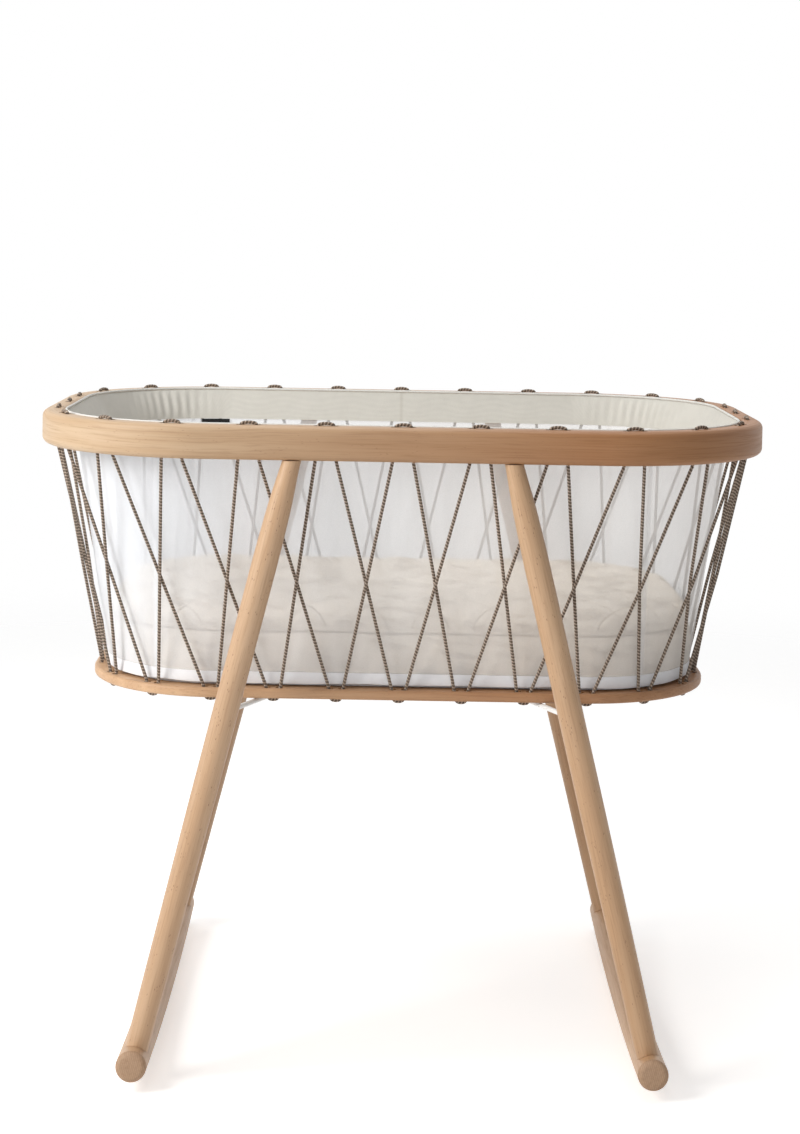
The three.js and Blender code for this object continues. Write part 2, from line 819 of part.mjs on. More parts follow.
function bandGeometry() {
  const middle = between(bandTopPlan, bandLowPlan, foldHeightShare);
  const middleHeight = THREE.MathUtils.lerp(bandTop, bandBottom, foldHeightShare);
  const inward = -bandThickness;
  return loft([
    gatheredRow(bandTopPlan, bandTop, 0),
    gatheredRow(middle, middleHeight, 1),
    gatheredRow(bandLowPlan, bandBottom, 0),
    gatheredRow(grown(bandLowPlan, inward), bandBottom, 0),
    gatheredRow(grown(middle, inward), middleHeight, 1),
    gatheredRow(grown(bandTopPlan, inward), bandTop, 0),
  ], true);
}

function pipingGeometry() {
  const radius = pipingDiameter / 2;
  const line = grown(bandTopPlan, -bandThickness / 2);
  const profile = [];
  for (let side = 0; side < pipingSides; side += 1) {
    const angle = ((side + 0.5) / pipingSides) * 2 * Math.PI;
    profile.push([grown(line, radius * Math.cos(angle)), linerTop + radius + radius * Math.sin(angle)]);
  }
  return wallRing(profile);
}

function tapeGeometry(topPlan, lowPlan, top, low, thickness) {
  return wallRing([
    [lowPlan, low],
    [topPlan, top],
    [grown(topPlan, -thickness), top],
    [grown(lowPlan, -thickness), low],
  ]);
}

const stripTop = linerTop - stripDrop;
const stripLow = stripTop - stripHeight;
const netLow = hemTop + seatGap;
const netTop = bandBottom - seatGap;
const cotton = () => finish(0xefece2, 0.9);
addPiece('liner_hook_strip', tapeGeometry(stripPlan, stripPlan, stripTop, stripLow, stripThickness), cotton());
addPiece('liner_band', bandGeometry(), cotton());
addPiece('liner_piping', pipingGeometry(), cotton());
const netWall = tapeGeometry(bandLowPlan, linerPlan, netTop, netLow, netThickness);
addPiece('liner_net_wall', netWall, finish(0xf6f7fa, 0.8));
addPiece('liner_hem', tapeGeometry(linerPlan, linerPlan, hemTop, hemBottom, hemThickness), cotton());
addPiece('liner_floor', linerFloorGeometry(), cotton());
addPiece('liner_tag', tagGeometry(), finish(0x161616, 0.8));

function linerFloorGeometry() {
  const outline = grown(linerPlan, -linerFloorInset);
  return loft([
    outlineRow(outline, linerFloorTop - linerFloorThickness),
    outlineRow(outline, linerFloorTop),
  ]);
}

// The tag follows the net wall's curve at the height where it hangs
function tagGeometry() {
  const face = (z) => {
    const share = (netTop - z) / (netTop - netLow);
    return grown(between(bandLowPlan, linerPlan, share), -netThickness - seatGap - tagStandOff);
  };
  const [top, low] = [netTop, netTop - tagHeight];
  const rows = tagLengthShares.map((share) => {
    const along = share * tagWidth - tagFromMiddle;
    return [[low, 0], [top, 0], [top, -tagThickness], [low, -tagThickness]].map(([z, inset]) => {
      const { x, y } = pointAlong(grown(face(z), inset), along);
      return new THREE.Vector3(x, y, z);
    });
  });
  return loft(rows);
}

// Mattress

// How far inside an outline a point lies
function depthInside({ halfLength, halfWidth, corner }, x, y) {
  const acrossX = Math.abs(x) - (halfLength - corner);
  const acrossY = Math.abs(y) - (halfWidth - corner);
  const beyond = Math.hypot(Math.max(acrossX, 0), Math.max(acrossY, 0));
  return corner - beyond - Math.min(Math.max(acrossX, acrossY), 0);
}

// The cover's top: a crown that falls to the seam, and a diamond quilt whose
// channels run along the cells' diagonals, with a pillow between them
function coverHeight(x, y, isPillow) {
  const depth = Math.max(depthInside(mattressPlan, x, y), 0);
  const fall = 1 - Math.min(depth / crownRun, 1);
  const rise = crownEdgeShare + (1 - crownEdgeShare) * Math.sqrt(1 - fall ** 2);
  const quilt = isPillow ? 0 : quiltDepth * Math.min((2 * depth) / crownRun, 1);
  return mattressBottom + mattressSeam + mattressCrown * rise - quilt;
}

function quiltSheet() {
  const columns = 2 * Math.ceil(mattressPlan.halfLength / quiltPitch) + 2;
  const rows = 2 * Math.ceil(mattressPlan.halfWidth / quiltPitch) + 2;
  const points = [];
  for (let row = 0; row <= rows; row += 1) {
    for (let column = 0; column <= columns; column += 1) {
      const x = (column - columns / 2) * quiltPitch;
      const y = (row - rows / 2) * quiltPitch;
      points.push(new THREE.Vector3(x, y, coverHeight(x, y, (row + column) % 2 === 1)));
    }
  }
  const floor = points.map(({ x, y }) => new THREE.Vector3(x, y, mattressBottom - cutOverrun));
  const at = (row, column) => row * (columns + 1) + column;
  const triangles = [];
  for (let row = 0; row < rows; row += 1) {
    for (let column = 0; column < columns; column += 1) {
      const [a, b] = [at(row, column), at(row, column + 1)];
      const [c, d] = [at(row + 1, column), at(row + 1, column + 1)];
      const cell = (row + column) % 2 === 0 ? [[a, b, d], [a, d, c]] : [[a, b, c], [b, d, c]];
      triangles.push(...cell, ...cell.map((face) => face.map((index) => index + points.length).reverse()));
    }
  }
  const border = [];
  for (let column = 0; column < columns; column += 1) border.push(at(0, column));
  for (let row = 0; row < rows; row += 1) border.push(at(row, columns));
  for (let column = columns; column > 0; column -= 1) border.push(at(rows, column));
  for (let row = rows; row > 0; row -= 1) border.push(at(row, 0));
  border.forEach((a, place) => {
    const b = border[(place + 1) % border.length];
    triangles.push([a, a + points.length, b + points.length], [a, b + points.length, b]);
  });
  return closedGeometry([...points, ...floor], triangles);
}

// The cover's sides: drawn in at the seam, the foot and between the corners
function coverSides(top) {
  const heights = [
    [0, seamDraw],
    ...sideFlatShares.map((share) => [share * mattressSeam, 0]),
    [mattressSeam, seamDraw],
    [mattressSeam + crownRiseShare * mattressCrown, 0],
    [top, 0],
  ];
  const rows = heights.map(([height, inset]) => {
    return outlineRow(grown(mattressPlan, -inset), mattressBottom + height).map((point) => {
      const pull = sideDraw * Math.cos((Math.PI * point.x) / (2 * mattressPlan.halfLength)) ** 2;
      point.y -= Math.sign(point.y) * pull;
      return point;
    });
  });
  return loft(rows);
}

function corePlate(clearance, low, high) {
  const outline = grown(mattressPlan, clearance - seamDraw - sideDraw - coverSide);
  return loft([outlineRow(outline, low), outlineRow(outline, high)]);
}

function coverGeometry() {
  const hollow = corePlate(seatGap, mattressBottom - cutOverrun, coreTop + seatGap);
  const form = solidOf(coverSides(2 * mattressSeam)).intersect(solidOf(quiltSheet()));
  return geometryOf(form.subtract(solidOf(hollow)));
}

const coreTop = mattressBottom + mattressSeam + mattressCrown - coverTop - quiltDepth;
addPiece('mattress_core', corePlate(0, mattressBottom, coreTop), finish(0xe9e1c8, 0.95), mattress);
addPiece('mattress_cover', coverGeometry(), finish(0xd8cdbd, 0.95), mattress);

export default cradle;
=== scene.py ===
import math

import bmesh
import bpy
import numpy as np
from mathutils import Matrix, Vector


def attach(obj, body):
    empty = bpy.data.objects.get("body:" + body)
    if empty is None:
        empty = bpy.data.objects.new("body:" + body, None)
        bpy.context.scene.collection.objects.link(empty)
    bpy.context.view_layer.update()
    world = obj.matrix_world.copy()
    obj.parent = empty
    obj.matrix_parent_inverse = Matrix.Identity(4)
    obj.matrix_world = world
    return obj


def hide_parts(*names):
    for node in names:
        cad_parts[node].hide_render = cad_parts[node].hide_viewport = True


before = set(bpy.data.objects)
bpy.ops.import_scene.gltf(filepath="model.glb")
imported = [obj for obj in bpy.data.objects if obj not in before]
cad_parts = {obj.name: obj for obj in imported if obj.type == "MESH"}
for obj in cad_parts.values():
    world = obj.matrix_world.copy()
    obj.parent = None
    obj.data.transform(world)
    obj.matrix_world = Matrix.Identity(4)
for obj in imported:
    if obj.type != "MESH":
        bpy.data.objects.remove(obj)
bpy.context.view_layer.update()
scene = bpy.context.scene

# Camera at the photograph's viewing angle

camera_place = Vector((-0.0170, -2.8194, 1.0151))
camera_yaw, camera_pitch, camera_roll = -0.004, 0.0348, 0.0180
focal_px, centre_row_px = 2190.1, 300.0
frame_height_px = 1134

ahead = Vector((-math.sin(camera_yaw), math.cos(camera_yaw), 0))
up = Vector((0, 0, 1))
right = ahead.cross(up)
look = ahead * math.cos(camera_pitch) - up * math.sin(camera_pitch)
over = up * math.cos(camera_pitch) + ahead * math.sin(camera_pitch)
rolled_right = right * math.cos(camera_roll) + over * math.sin(camera_roll)
rolled_over = over * math.cos(camera_roll) - right * math.sin(camera_roll)

lens = bpy.data.cameras.new("camera")
lens.sensor_width = 36
lens.lens = focal_px / frame_height_px * lens.sensor_width
lens.shift_y = (centre_row_px - frame_height_px / 2) / frame_height_px
lens.clip_end = 60
camera = bpy.data.objects.new("camera", lens)
turned = Matrix((rolled_right, rolled_over, -look)).transposed()
camera.matrix_world = Matrix.Translation(camera_place) @ turned.to_4x4()
scene.collection.objects.link(camera)
scene.camera = camera
scene.view_settings.view_transform = "Standard"

# Sizes repeated from the CAD, in metres

GAP = 0.0003
RIM_TOP, RIM_HEIGHT, RIM_THICK = 0.779, 0.040, 0.026
RIM_BOTTOM = RIM_TOP - RIM_HEIGHT
BOARD_TOP, BOARD_THICK = 0.458, 0.012
BOARD_BOTTOM = BOARD_TOP - BOARD_THICK
LOOPS = 28
CORD_RADIUS = 0.0020
RIM_OUTER_ROUND, RIM_INNER_ROUND, BOARD_ROUND, ROD_END_ROUND = 0.008, 0.004, 0.0035, 0.0065
RIM_SPAN, BOARD_SPAN, CORD_LEAN = 0.0212, 0.0142, 0.0016
HOLE_RADIUS = 0.0045
ROD_RADIUS = 0.018
ARC_RADIUS = 3.53
ROD_HALF_LENGTH = 0.314
ROD_X = 0.3035
LEG_FOOT_Y, LEG_TOP_X, LEG_TOP_Y = 0.276, 0.129, 0.287
LEG_RADII = (0.0105, 0.0140, 0.0150, 0.0150, 0.0135)
BRACE_RADIUS = 0.003
BRACE_ROOT_X, BRACE_ROOT_Y = 0.070, 0.009
KNOT_HEIGHT, KNOT_SWELL, CORD_TAIL = 0.009, 0.0035, 0.012
STRIP_THICK, BAND_THICK, HEM_THICK, FLOOR_CLOTH_THICK = 0.0015, 0.0016, 0.0016, 0.002


def grown(plan, distance):
    return tuple(value + distance for value in plan)


def between(first, second, share):
    return tuple(a + (b - a) * share for a, b in zip(first, second))


RIM_PLAN = (0.447, 0.300, 0.210)
RIM_INNER = grown(RIM_PLAN, -RIM_THICK)
RIM_CORD = grown(RIM_PLAN, -0.0175)
BOARD_PLAN = (0.382, 0.225, 0.159)
BOARD_CORD = grown(BOARD_PLAN, -0.009)
STRIP_PLAN = grown(RIM_INNER, -GAP)
BAND_TOP_PLAN = grown(STRIP_PLAN, -STRIP_THICK - GAP)
BAND_LOW_PLAN = grown(BAND_TOP_PLAN, -0.016)
LINER_PLAN = grown(BOARD_CORD, -0.006)
MATTRESS_PLAN = grown(LINER_PLAN, -0.0025)
COVER_PLAN = grown(MATTRESS_PLAN, 0.003)
LINER_TOP = RIM_TOP - 0.0022
BAND_TOP = LINER_TOP - GAP
BAND_BOTTOM = BAND_TOP - 0.0395
PIPING_RADIUS = 0.0015
FLOOR_CLOTH_TOP = BOARD_TOP + GAP + FLOOR_CLOTH_THICK
HEM_BOTTOM = FLOOR_CLOTH_TOP + GAP
HEM_TOP = HEM_BOTTOM + 0.015
NET_TOP = BAND_BOTTOM - GAP
NET_LOW = HEM_TOP + GAP
MATTRESS_BOTTOM = FLOOR_CLOTH_TOP + GAP
MATTRESS_SEAM, MATTRESS_CROWN, CROWN_RUN = 0.063, 0.034, 0.040
SEAM_Z = MATTRESS_BOTTOM + MATTRESS_SEAM
NET_SEAM_X = 0.292
QUILT = 0.074
HUB_TOP = BOARD_BOTTOM - GAP
BRACE_Z = HUB_TOP - 0.0035

# Outlines: rounded rectangles, walked from the back middle towards +X


def perimeter(plan):
    length, width, corner = plan
    return 4 * (length - corner) + 4 * (width - corner) + 2 * math.pi * corner


def point_along(plan, distance):
    """The place and outward normal at a distance along a plan."""
    length, width, corner = plan
    rest = distance % perimeter(plan)
    flat_x, flat_y, arc = length - corner, width - corner, math.pi / 2 * corner
    runs = [
        (flat_x, (0, width), (1, 0), None),
        (arc, (flat_x, flat_y), None, math.pi / 2),
        (2 * flat_y, (length, flat_y), (0, -1), None),
        (arc, (flat_x, -flat_y), None, 0),
        (2 * flat_x, (flat_x, -width), (-1, 0), None),
        (arc, (-flat_x, -flat_y), None, -math.pi / 2),
        (2 * flat_y, (-length, -flat_y), (0, 1), None),
        (arc, (-flat_x, flat_y), None, math.pi),
        (flat_x, (-flat_x, width), (1, 0), None),
    ]
    for size, start, heading, angle in runs:
        if rest <= size or (start[0] < 0 and heading == (1, 0)):
            if heading:
                normal = (-heading[1], heading[0])
                return start[0] + rest * heading[0], start[1] + rest * heading[1], *normal
            turn = angle - rest / corner
            normal = (math.cos(turn), math.sin(turn))
            return start[0] + corner * normal[0], start[1] + corner * normal[1], *normal
        rest -= size


def stations(plan, corner_steps, flat_steps):
    """Places round a plan with their outward normals, alike in number for every plan."""
    length, width, corner = plan
    places = []
    flat_x, flat_y = length - corner, width - corner
    for quarter in range(4):
        side_x = 1 if quarter < 2 else -1
        side_y = 1 if quarter in (0, 3) else -1
        for step in range(corner_steps + 1):
            angle = math.pi / 2 * (1 - quarter - step / corner_steps)
            normal = (math.cos(angle), math.sin(angle))
            place = (side_x * flat_x + corner * normal[0], side_y * flat_y + corner * normal[1])
            places.append((*place, *normal))
        following = math.pi / 2 * (-quarter)
        normal = (math.cos(following), math.sin(following))
        run = 2 * (flat_y if quarter % 2 == 0 else flat_x)
        heading = (normal[1], -normal[0])
        start = places[-1]
        for step in range(1, flat_steps):
            reach = run * step / flat_steps
            places.append((start[0] + heading[0] * reach, start[1] + heading[1] * reach, *normal))
    return places


def inset_from(plan, x, y):
    """How far inside a plan a place lies, for arrays too."""
    length, width, corner = plan
    across_x = np.abs(x) - (length - corner)
    across_y = np.abs(y) - (width - corner)
    beyond = np.hypot(np.maximum(across_x, 0), np.maximum(across_y, 0))
    return corner - beyond - np.minimum(np.maximum(across_x, across_y), 0)


def walked(plan, x, y):
    """Distance walked along a plan to the place nearest to a point, for arrays."""
    length, width, corner = plan
    flat_x, flat_y, arc = length - corner, width - corner, math.pi / 2 * corner
    quarter_run = flat_x + arc + flat_y
    ax, ay = np.abs(x), np.abs(y)
    angle = np.arctan2(np.maximum(ay - flat_y, 0), np.maximum(ax - flat_x, 1e-9))
    turned_share = np.clip(math.pi / 2 - angle, 0, math.pi / 2)
    past_flat = np.where(ay <= flat_y, flat_x + arc + (flat_y - ay), flat_x + corner * turned_share)
    first = np.where(ax <= flat_x, ax, past_flat)
    on_right = np.where(y >= 0, first, 2 * quarter_run - first)
    on_left = np.where(y >= 0, 4 * quarter_run - first, 2 * quarter_run + first)
    return np.where(x >= 0, on_right, on_left)


# Meshes

SHARP_DEGREES = 35


def shade(mesh, smooth_angle=SHARP_DEGREES):
    mesh.shade_smooth()
    mesh.set_sharp_from_angle(angle=math.radians(smooth_angle))
    mesh.update()


def mesh_object(name, points, faces, smooth_angle=SHARP_DEGREES):
    mesh = bpy.data.meshes.new(name)
    mesh.from_pydata([tuple(point) for point in points], [], faces)
    solid = bmesh.new()
    solid.from_mesh(mesh)
    bmesh.ops.recalc_face_normals(solid, faces=solid.faces)
    solid.to_mesh(mesh)
    solid.free()
    shade(mesh, smooth_angle)
    piece = bpy.data.objects.new(name, mesh)
    scene.collection.objects.link(piece)
    return piece


def loft(name, rows, rows_close=False, caps=True, smooth_angle=SHARP_DEGREES):
    """Joins rows of equal length, each a closed loop of points."""
    width = len(rows[0])
    points = [point for row in rows for point in row]
    faces = []
    bands = len(rows) if rows_close else len(rows) - 1
    for row in range(bands):
        first, second = row * width, (row + 1) % len(rows) * width
        for column in range(width):
            side = (column + 1) % width
            faces.append((first + column, first + side, second + side, second + column))
    if caps and not rows_close:
        faces.append(tuple(reversed(range(width))))
        faces.append(tuple(range(len(points) - width, len(points))))
    return mesh_object(name, points, faces, smooth_angle)


def plan_row(plan, z, corner_steps=40, flat_steps=12):
    return [(x, y, z) for x, y, _, _ in stations(plan, corner_steps, flat_steps)]


def ring(name, profile, corner_steps=40, smooth_angle=SHARP_DEGREES):
    rows = [plan_row(plan, z, corner_steps) for plan, z in profile]
    return loft(name, rows, rows_close=True, smooth_angle=smooth_angle)


def round_edge(radius, steps):
    angles = [math.pi / 2 * step / steps for step in range(steps + 1)]
    return [(radius * (1 - math.cos(a)), radius * (1 - math.sin(a))) for a in angles]


def rod_mesh(name, places, radii, sides=40, smooth_angle=40):
    """A round rod along a line of places, with a radius at each."""
    places = [Vector(place) for place in places]
    rows = []
    before = (places[1] - places[0]).normalized()
    across = before.orthogonal().normalized()
    for index, place in enumerate(places):
        onward = places[min(index + 1, len(places) - 1)] - place
        heading = onward.normalized() if onward.length > 1e-9 else before
        across.rotate(before.rotation_difference(heading))
        before = heading
        back = (place - places[index - 1]).normalized() if index else heading
        mitre = (back + heading).normalized()
        beside = heading.cross(across)
        row = []
        for side in range(sides):
            angle = 2 * math.pi * side / sides
            spoke = (across * math.cos(angle) + beside * math.sin(angle)) * radii[index]
            spoke -= heading * (spoke.dot(mitre) / heading.dot(mitre))
            row.append(place + spoke)
        rows.append(row)
    return loft(name, rows, smooth_angle=smooth_angle)


def cylinder_tool(places, radius, sides=20):
    """Many separate cylinders in one mesh, to cut holes with."""
    points, faces = [], []
    for start, end in places:
        start, end = Vector(start), Vector(end)
        heading = (end - start).normalized()
        across = heading.orthogonal().normalized()
        beside = heading.cross(across)
        base = len(points)
        for place in (start, end):
            for side in range(sides):
                angle = 2 * math.pi * side / sides
                points.append(place + (across * math.cos(angle) + beside * math.sin(angle)) * radius)
        for side in range(sides):
            following = (side + 1) % sides
            faces.append((base + side, base + following, base + sides + following, base + sides + side))
        faces.append(tuple(base + side for side in reversed(range(sides))))
        faces.append(tuple(base + sides + side for side in range(sides)))
    return mesh_object("tool", points, faces)


def carve(piece, tool):
    """Cuts a tool out of a piece and deletes the tool."""
    cutter = piece.modifiers.new("cut", "BOOLEAN")
    cutter.operation = "DIFFERENCE"
    cutter.solver = "EXACT"
    cutter.object = tool
    apply_modifiers(piece)
    bpy.data.objects.remove(tool)
    shade(piece.data)


def apply_modifiers(piece):
    bpy.context.view_layer.update()
    shaped = piece.evaluated_get(bpy.context.evaluated_depsgraph_get())
    mesh = bpy.data.meshes.new_from_object(shaped)
    piece.modifiers.clear()
    old = piece.data
    piece.data = mesh
    bpy.data.meshes.remove(old)


def coordinates(piece):
    values = np.empty(len(piece.data.vertices) * 3)
    piece.data.vertices.foreach_get("co", values)
    return values.reshape(-1, 3)


def set_coordinates(piece, values):
    piece.data.vertices.foreach_set("co", values.reshape(-1))
    piece.data.update()


def store(piece, values):
    """Keeps a vector for each corner, which the materials read as the grain."""
    layer = piece.data.attributes.new("grain", "FLOAT_VECTOR", "CORNER")
    layer.data.foreach_set("vector", np.ascontiguousarray(values, dtype=np.float32).reshape(-1))


def corner_vertices(piece):
    index = np.empty(len(piece.data.loops), dtype=np.int32)
    piece.data.loops.foreach_get("vertex_index", index)
    return index


def store_along(piece, plan):
    """Distance along a plan, depth inside it, and height, as the grain runs."""
    values = coordinates(piece)
    along = walked(plan, values[:, 0], values[:, 1])
    inside = inset_from(plan, values[:, 0], values[:, 1])
    corners = corner_vertices(piece)
    grain = np.stack([along, inside, values[:, 2]], axis=1)[corners]
    total = perimeter(plan)
    for face in piece.data.polygons:
        part = grain[face.loop_start:face.loop_start + face.loop_total, 0]
        if part.max() - part.min() > total / 2:
            part[part < total / 2] += total
    store(piece, grain)


def store_line(piece, origin, heading):
    """Distance along a straight piece, and the two distances across it."""
    heading = Vector(heading).normalized()
    across = heading.orthogonal().normalized()
    beside = heading.cross(across)
    offset = coordinates(piece) - np.array(origin)
    axes = np.array([heading, across, beside])
    store(piece, (offset @ axes.T)[corner_vertices(piece)])


# Materials


class Nodes:
    """Builds up a node tree, node by node."""

    def __init__(self, tree):
        self.tree = tree

    def node(self, kind, inputs=None, **settings):
        made = self.tree.nodes.new("ShaderNode" + kind)
        for key, value in settings.items():
            setattr(made, key, value)
        for key, value in (inputs or {}).items():
            if isinstance(value, bpy.types.NodeSocket):
                self.tree.links.new(value, made.inputs[key])
            else:
                made.inputs[key].default_value = value
        return made

    def math(self, operation, first, second=0.0):
        return self.node("Math", {0: first, 1: second}, operation=operation).outputs[0]

    def plus(self, first, second):
        return self.math("ADD", first, second)

    def less(self, first, second):
        return self.math("SUBTRACT", first, second)

    def times(self, first, second):
        return self.math("MULTIPLY", first, second)

    def larger(self, first, second):
        return self.math("MAXIMUM", first, second)

    def wave(self, value, turn):
        return self.math("SINE", self.times(value, turn))

    def place(self):
        return self.node("TexCoord").outputs["Object"]

    def parts(self, vector):
        return self.node("SeparateXYZ", {0: vector}).outputs

    def grain(self):
        return self.parts(self.node("Attribute", attribute_name="grain").outputs["Vector"])

    def joined(self, x, y, z=0.0):
        return self.node("CombineXYZ", {0: x, 1: y, 2: z}).outputs[0]

    def scaled(self, *pairs):
        """Joins values, each times its own scale."""
        return self.joined(*(self.times(value, scale) for value, scale in pairs))

    def noise(self, vector, scale=1.0, detail=3.0, roughness=0.5):
        inputs = {"Vector": vector, "Scale": scale, "Detail": detail, "Roughness": roughness}
        return self.node("TexNoise", inputs).outputs[0]

    def cells(self, vector, scale=1.0):
        return self.node("TexVoronoi", {"Vector": vector, "Scale": scale}).outputs["Distance"]

    def between(self, value, low, high, to_low=0.0, to_high=1.0, smooth=True):
        inputs = {"Value": value, "From Min": low, "From Max": high, "To Min": to_low, "To Max": to_high}
        kind = "SMOOTHSTEP" if smooth else "LINEAR"
        return self.node("MapRange", inputs, interpolation_type=kind).outputs[0]

    def near(self, value, place, half_width):
        """1 on a line where the value passes a place, falling to 0 beside it."""
        return self.between(self.math("ABSOLUTE", self.less(value, place)), 0.0, half_width, 1.0, 0.0)

    def blend(self, factor, first, second, mode="MIX"):
        made = self.node("Mix", data_type="RGBA", blend_type=mode)
        for key, value in ((0, factor), (6, first), (7, second)):
            if isinstance(value, bpy.types.NodeSocket):
                self.tree.links.new(value, made.inputs[key])
            else:
                made.inputs[key].default_value = value if key == 0 else (*value, 1)
        return made.outputs[2]

    def bump(self, height, strength, distance=0.001, normal=None):
        inputs = {"Height": height, "Strength": strength, "Distance": distance}
        if normal:
            inputs["Normal"] = normal
        return self.node("Bump", inputs).outputs[0]

    def background_rays(self):
        """1 where the picture, a gloss or a clear material sees the background itself."""
        path = self.node("LightPath").outputs
        shiny = self.larger(path["Is Glossy Ray"], path["Is Transmission Ray"])
        return self.larger(path["Is Camera Ray"], shiny)


class Surface(Nodes):
    """One procedural material."""

    def __init__(self, name, **sockets):
        self.material = bpy.data.materials.new(name)
        self.material.use_nodes = True
        super().__init__(self.material.node_tree)
        self.shader = self.tree.nodes["Principled BSDF"]
        for key, value in sockets.items():
            self.shader.inputs[key.replace("_", " ")].default_value = value

    def use(self, **links):
        for key, value in links.items():
            self.tree.links.new(value, self.shader.inputs[key.replace("_", " ")])
        return self.material


def shaded(colour, *shares):
    """A colour with each channel times its own share, or all times one."""
    return tuple(c * share for c, share in zip(colour, shares * (3 // len(shares))))


def wood(name, colours, painted_light, shift=0.0, fleck_share=0.5, coat=0.15):
    """Lacquered beech: soft streaks along the grain, broad bands and sparse short flecks, with painted
    light: paler on the left and darker and redder to the right.
    """
    s = Surface(name, Coat_Weight=coat, Coat_Roughness=0.42, Specular_IOR_Level=0.4)
    pale, mid, dark = colours
    along, a, b = s.grain()
    a, b = s.plus(a, shift), s.plus(b, shift * 1.7)
    bend = s.noise(s.scaled((along, 4.0), (a, 9.0), (b, 1.0)), 1.0, 2.0)
    lean = s.times(s.less(bend, 0.5), 0.012)
    a, b = s.plus(a, lean), s.plus(b, lean)
    broad = s.noise(s.scaled((along, 2.2), (a, 60.0), (b, 60.0)), 1.0, 3.0)
    streak = s.noise(s.scaled((along, 14.0), (a, 520.0), (b, 520.0)), 1.0, 4.0, 0.6)
    large = s.noise(s.scaled((along, 5.0), (a, 14.0), (b, 14.0)))
    patch = s.noise(s.scaled((along, 45.0), (a, 90.0), (b, 90.0)), 1.0, 1.0)
    cell = s.cells(s.scaled((along, 130.0), (a, 480.0), (b, 480.0)))
    fleck = s.times(s.between(cell, 0.12, 0.22, 1.0, 0.0), s.between(patch, 0.50, 0.60))
    colour = s.blend(s.between(broad, 0.32, 0.70), pale, mid)
    colour = s.blend(s.times(s.between(streak, 0.46, 0.70), 0.40), colour, dark)
    colour = s.blend(s.times(s.between(large, 0.5, 0.75), 0.22), colour, dark)
    # Painted light: a colour factor that runs with x, paler on the left where the key light falls, darker
    # and redder to the right.
    x = s.parts(s.place())[0]
    reach, painted_lit_left, painted_shade_right = painted_light
    painted_light_factor = s.blend(s.between(x, *reach, smooth=False), painted_lit_left, painted_shade_right)
    colour = s.blend(1.0, colour, painted_light_factor, "MULTIPLY")
    colour = s.blend(s.times(fleck, fleck_share), colour, shaded(dark, 0.60, 0.50, 0.50))
    height = s.less(s.times(streak, 0.5), s.times(fleck, 0.6))
    rough = s.between(streak, 0.3, 0.8, 0.45, 0.60)
    return s.use(Base_Color=colour, Roughness=rough, Normal=s.bump(height, 0.2, 0.0003))


def end_grain(name, pale, dark):
    """Sawn rod end: rings and pores seen end on."""
    s = Surface(name, Coat_Weight=0.05, Coat_Roughness=0.4)
    _, a, b = s.grain()
    rings = s.wave(s.plus(a, s.times(b, 0.3)), 2600.0)
    pore = s.between(s.cells(s.joined(a, b), 1500.0), 0.15, 0.4, 1.0, 0.0)
    patch = s.noise(s.joined(a, b), 260.0, 3.0)
    colour = s.blend(s.between(rings, -0.6, 1.0, 0.15, 0.50), pale, dark)
    colour = s.blend(s.times(pore, 0.4), colour, shaded(dark, 0.5))
    colour = s.blend(s.times(s.between(patch, 0.45, 0.7), 0.4), colour, dark)
    rough = s.between(patch, 0.2, 0.8, 0.6, 0.8)
    return s.use(Base_Color=colour, Roughness=rough, Normal=s.bump(pore, 0.3, 0.0002))


def braid(name, pale, mid, dark):
    """Round braid: two sets of strands that cross at a slant, with light flecks where they meet."""
    s = Surface(name, Roughness=0.85, Specular_IOR_Level=0.25, Sheen_Weight=0.15, Sheen_Roughness=0.5)
    along, turn, _ = s.grain()
    steps = s.times(along, 250.0)
    wave_one = s.wave(s.plus(steps, turn), 2 * math.pi)
    wave_two = s.wave(s.less(steps, s.times(turn, 3.0)), 2 * math.pi)
    strand = s.times(wave_one, wave_two)
    fibre = s.noise(s.scaled((along, 2500.0), (turn, 30.0)), 1.0, 2.0)
    fleck = s.times(s.between(wave_one, -0.1, 0.6), s.between(wave_two, -0.4, 0.3, 0.6, 1.0))
    colour = s.blend(s.between(strand, -0.6, 0.7), dark, mid)
    colour = s.blend(s.times(fleck, 0.85), colour, pale)
    colour = s.blend(s.times(fibre, 0.12), colour, pale)
    height = s.plus(s.times(s.math("ABSOLUTE", strand), 0.8), s.times(fibre, 0.2))
    return s.use(Base_Color=colour, Normal=s.bump(height, 0.8, 0.0006))


def stitching_and_painted_shade(s, x, y, z, wander):
    """The quilt's sewn channels with painted shade in their grooves, painted shade of wrinkles, and the
    seam round the side.
    """
    lines = []
    for across in (s.plus(x, y), s.less(x, y)):
        turns = s.math("DIVIDE", across, QUILT)
        lines.append(s.near(turns, s.math("ROUND", turns), 0.030))
    on_top = s.between(z, SEAM_Z + 0.004, SEAM_Z + 0.008)
    # Stitch lines, widened into painted shade in the quilt's grooves.
    channel = s.times(s.larger(*lines), s.times(on_top, 0.8))
    height = s.plus(z, s.times(s.less(wander, 0.5), 0.006))
    seam = s.times(s.near(height, SEAM_Z, 0.0026), 0.85)
    # Painted shade of wrinkles: darker blotches on the top and sides.
    level = s.plus(z, s.times(x, 0.12))
    wrinkle = s.noise(s.scaled((x, 16.0), (y, 16.0), (level, 110.0)), 1.0, 2.0)
    painted_wrinkle_shade = s.times(s.between(wrinkle, 0.50, 0.62), 0.34)
    return s.larger(channel, s.larger(seam, painted_wrinkle_shade))


def band_seam(s, x, *_):
    """Where the band's two ends are sewn together, in the middle of the back."""
    return s.times(s.near(x, 0.0, 0.0040), 0.16)


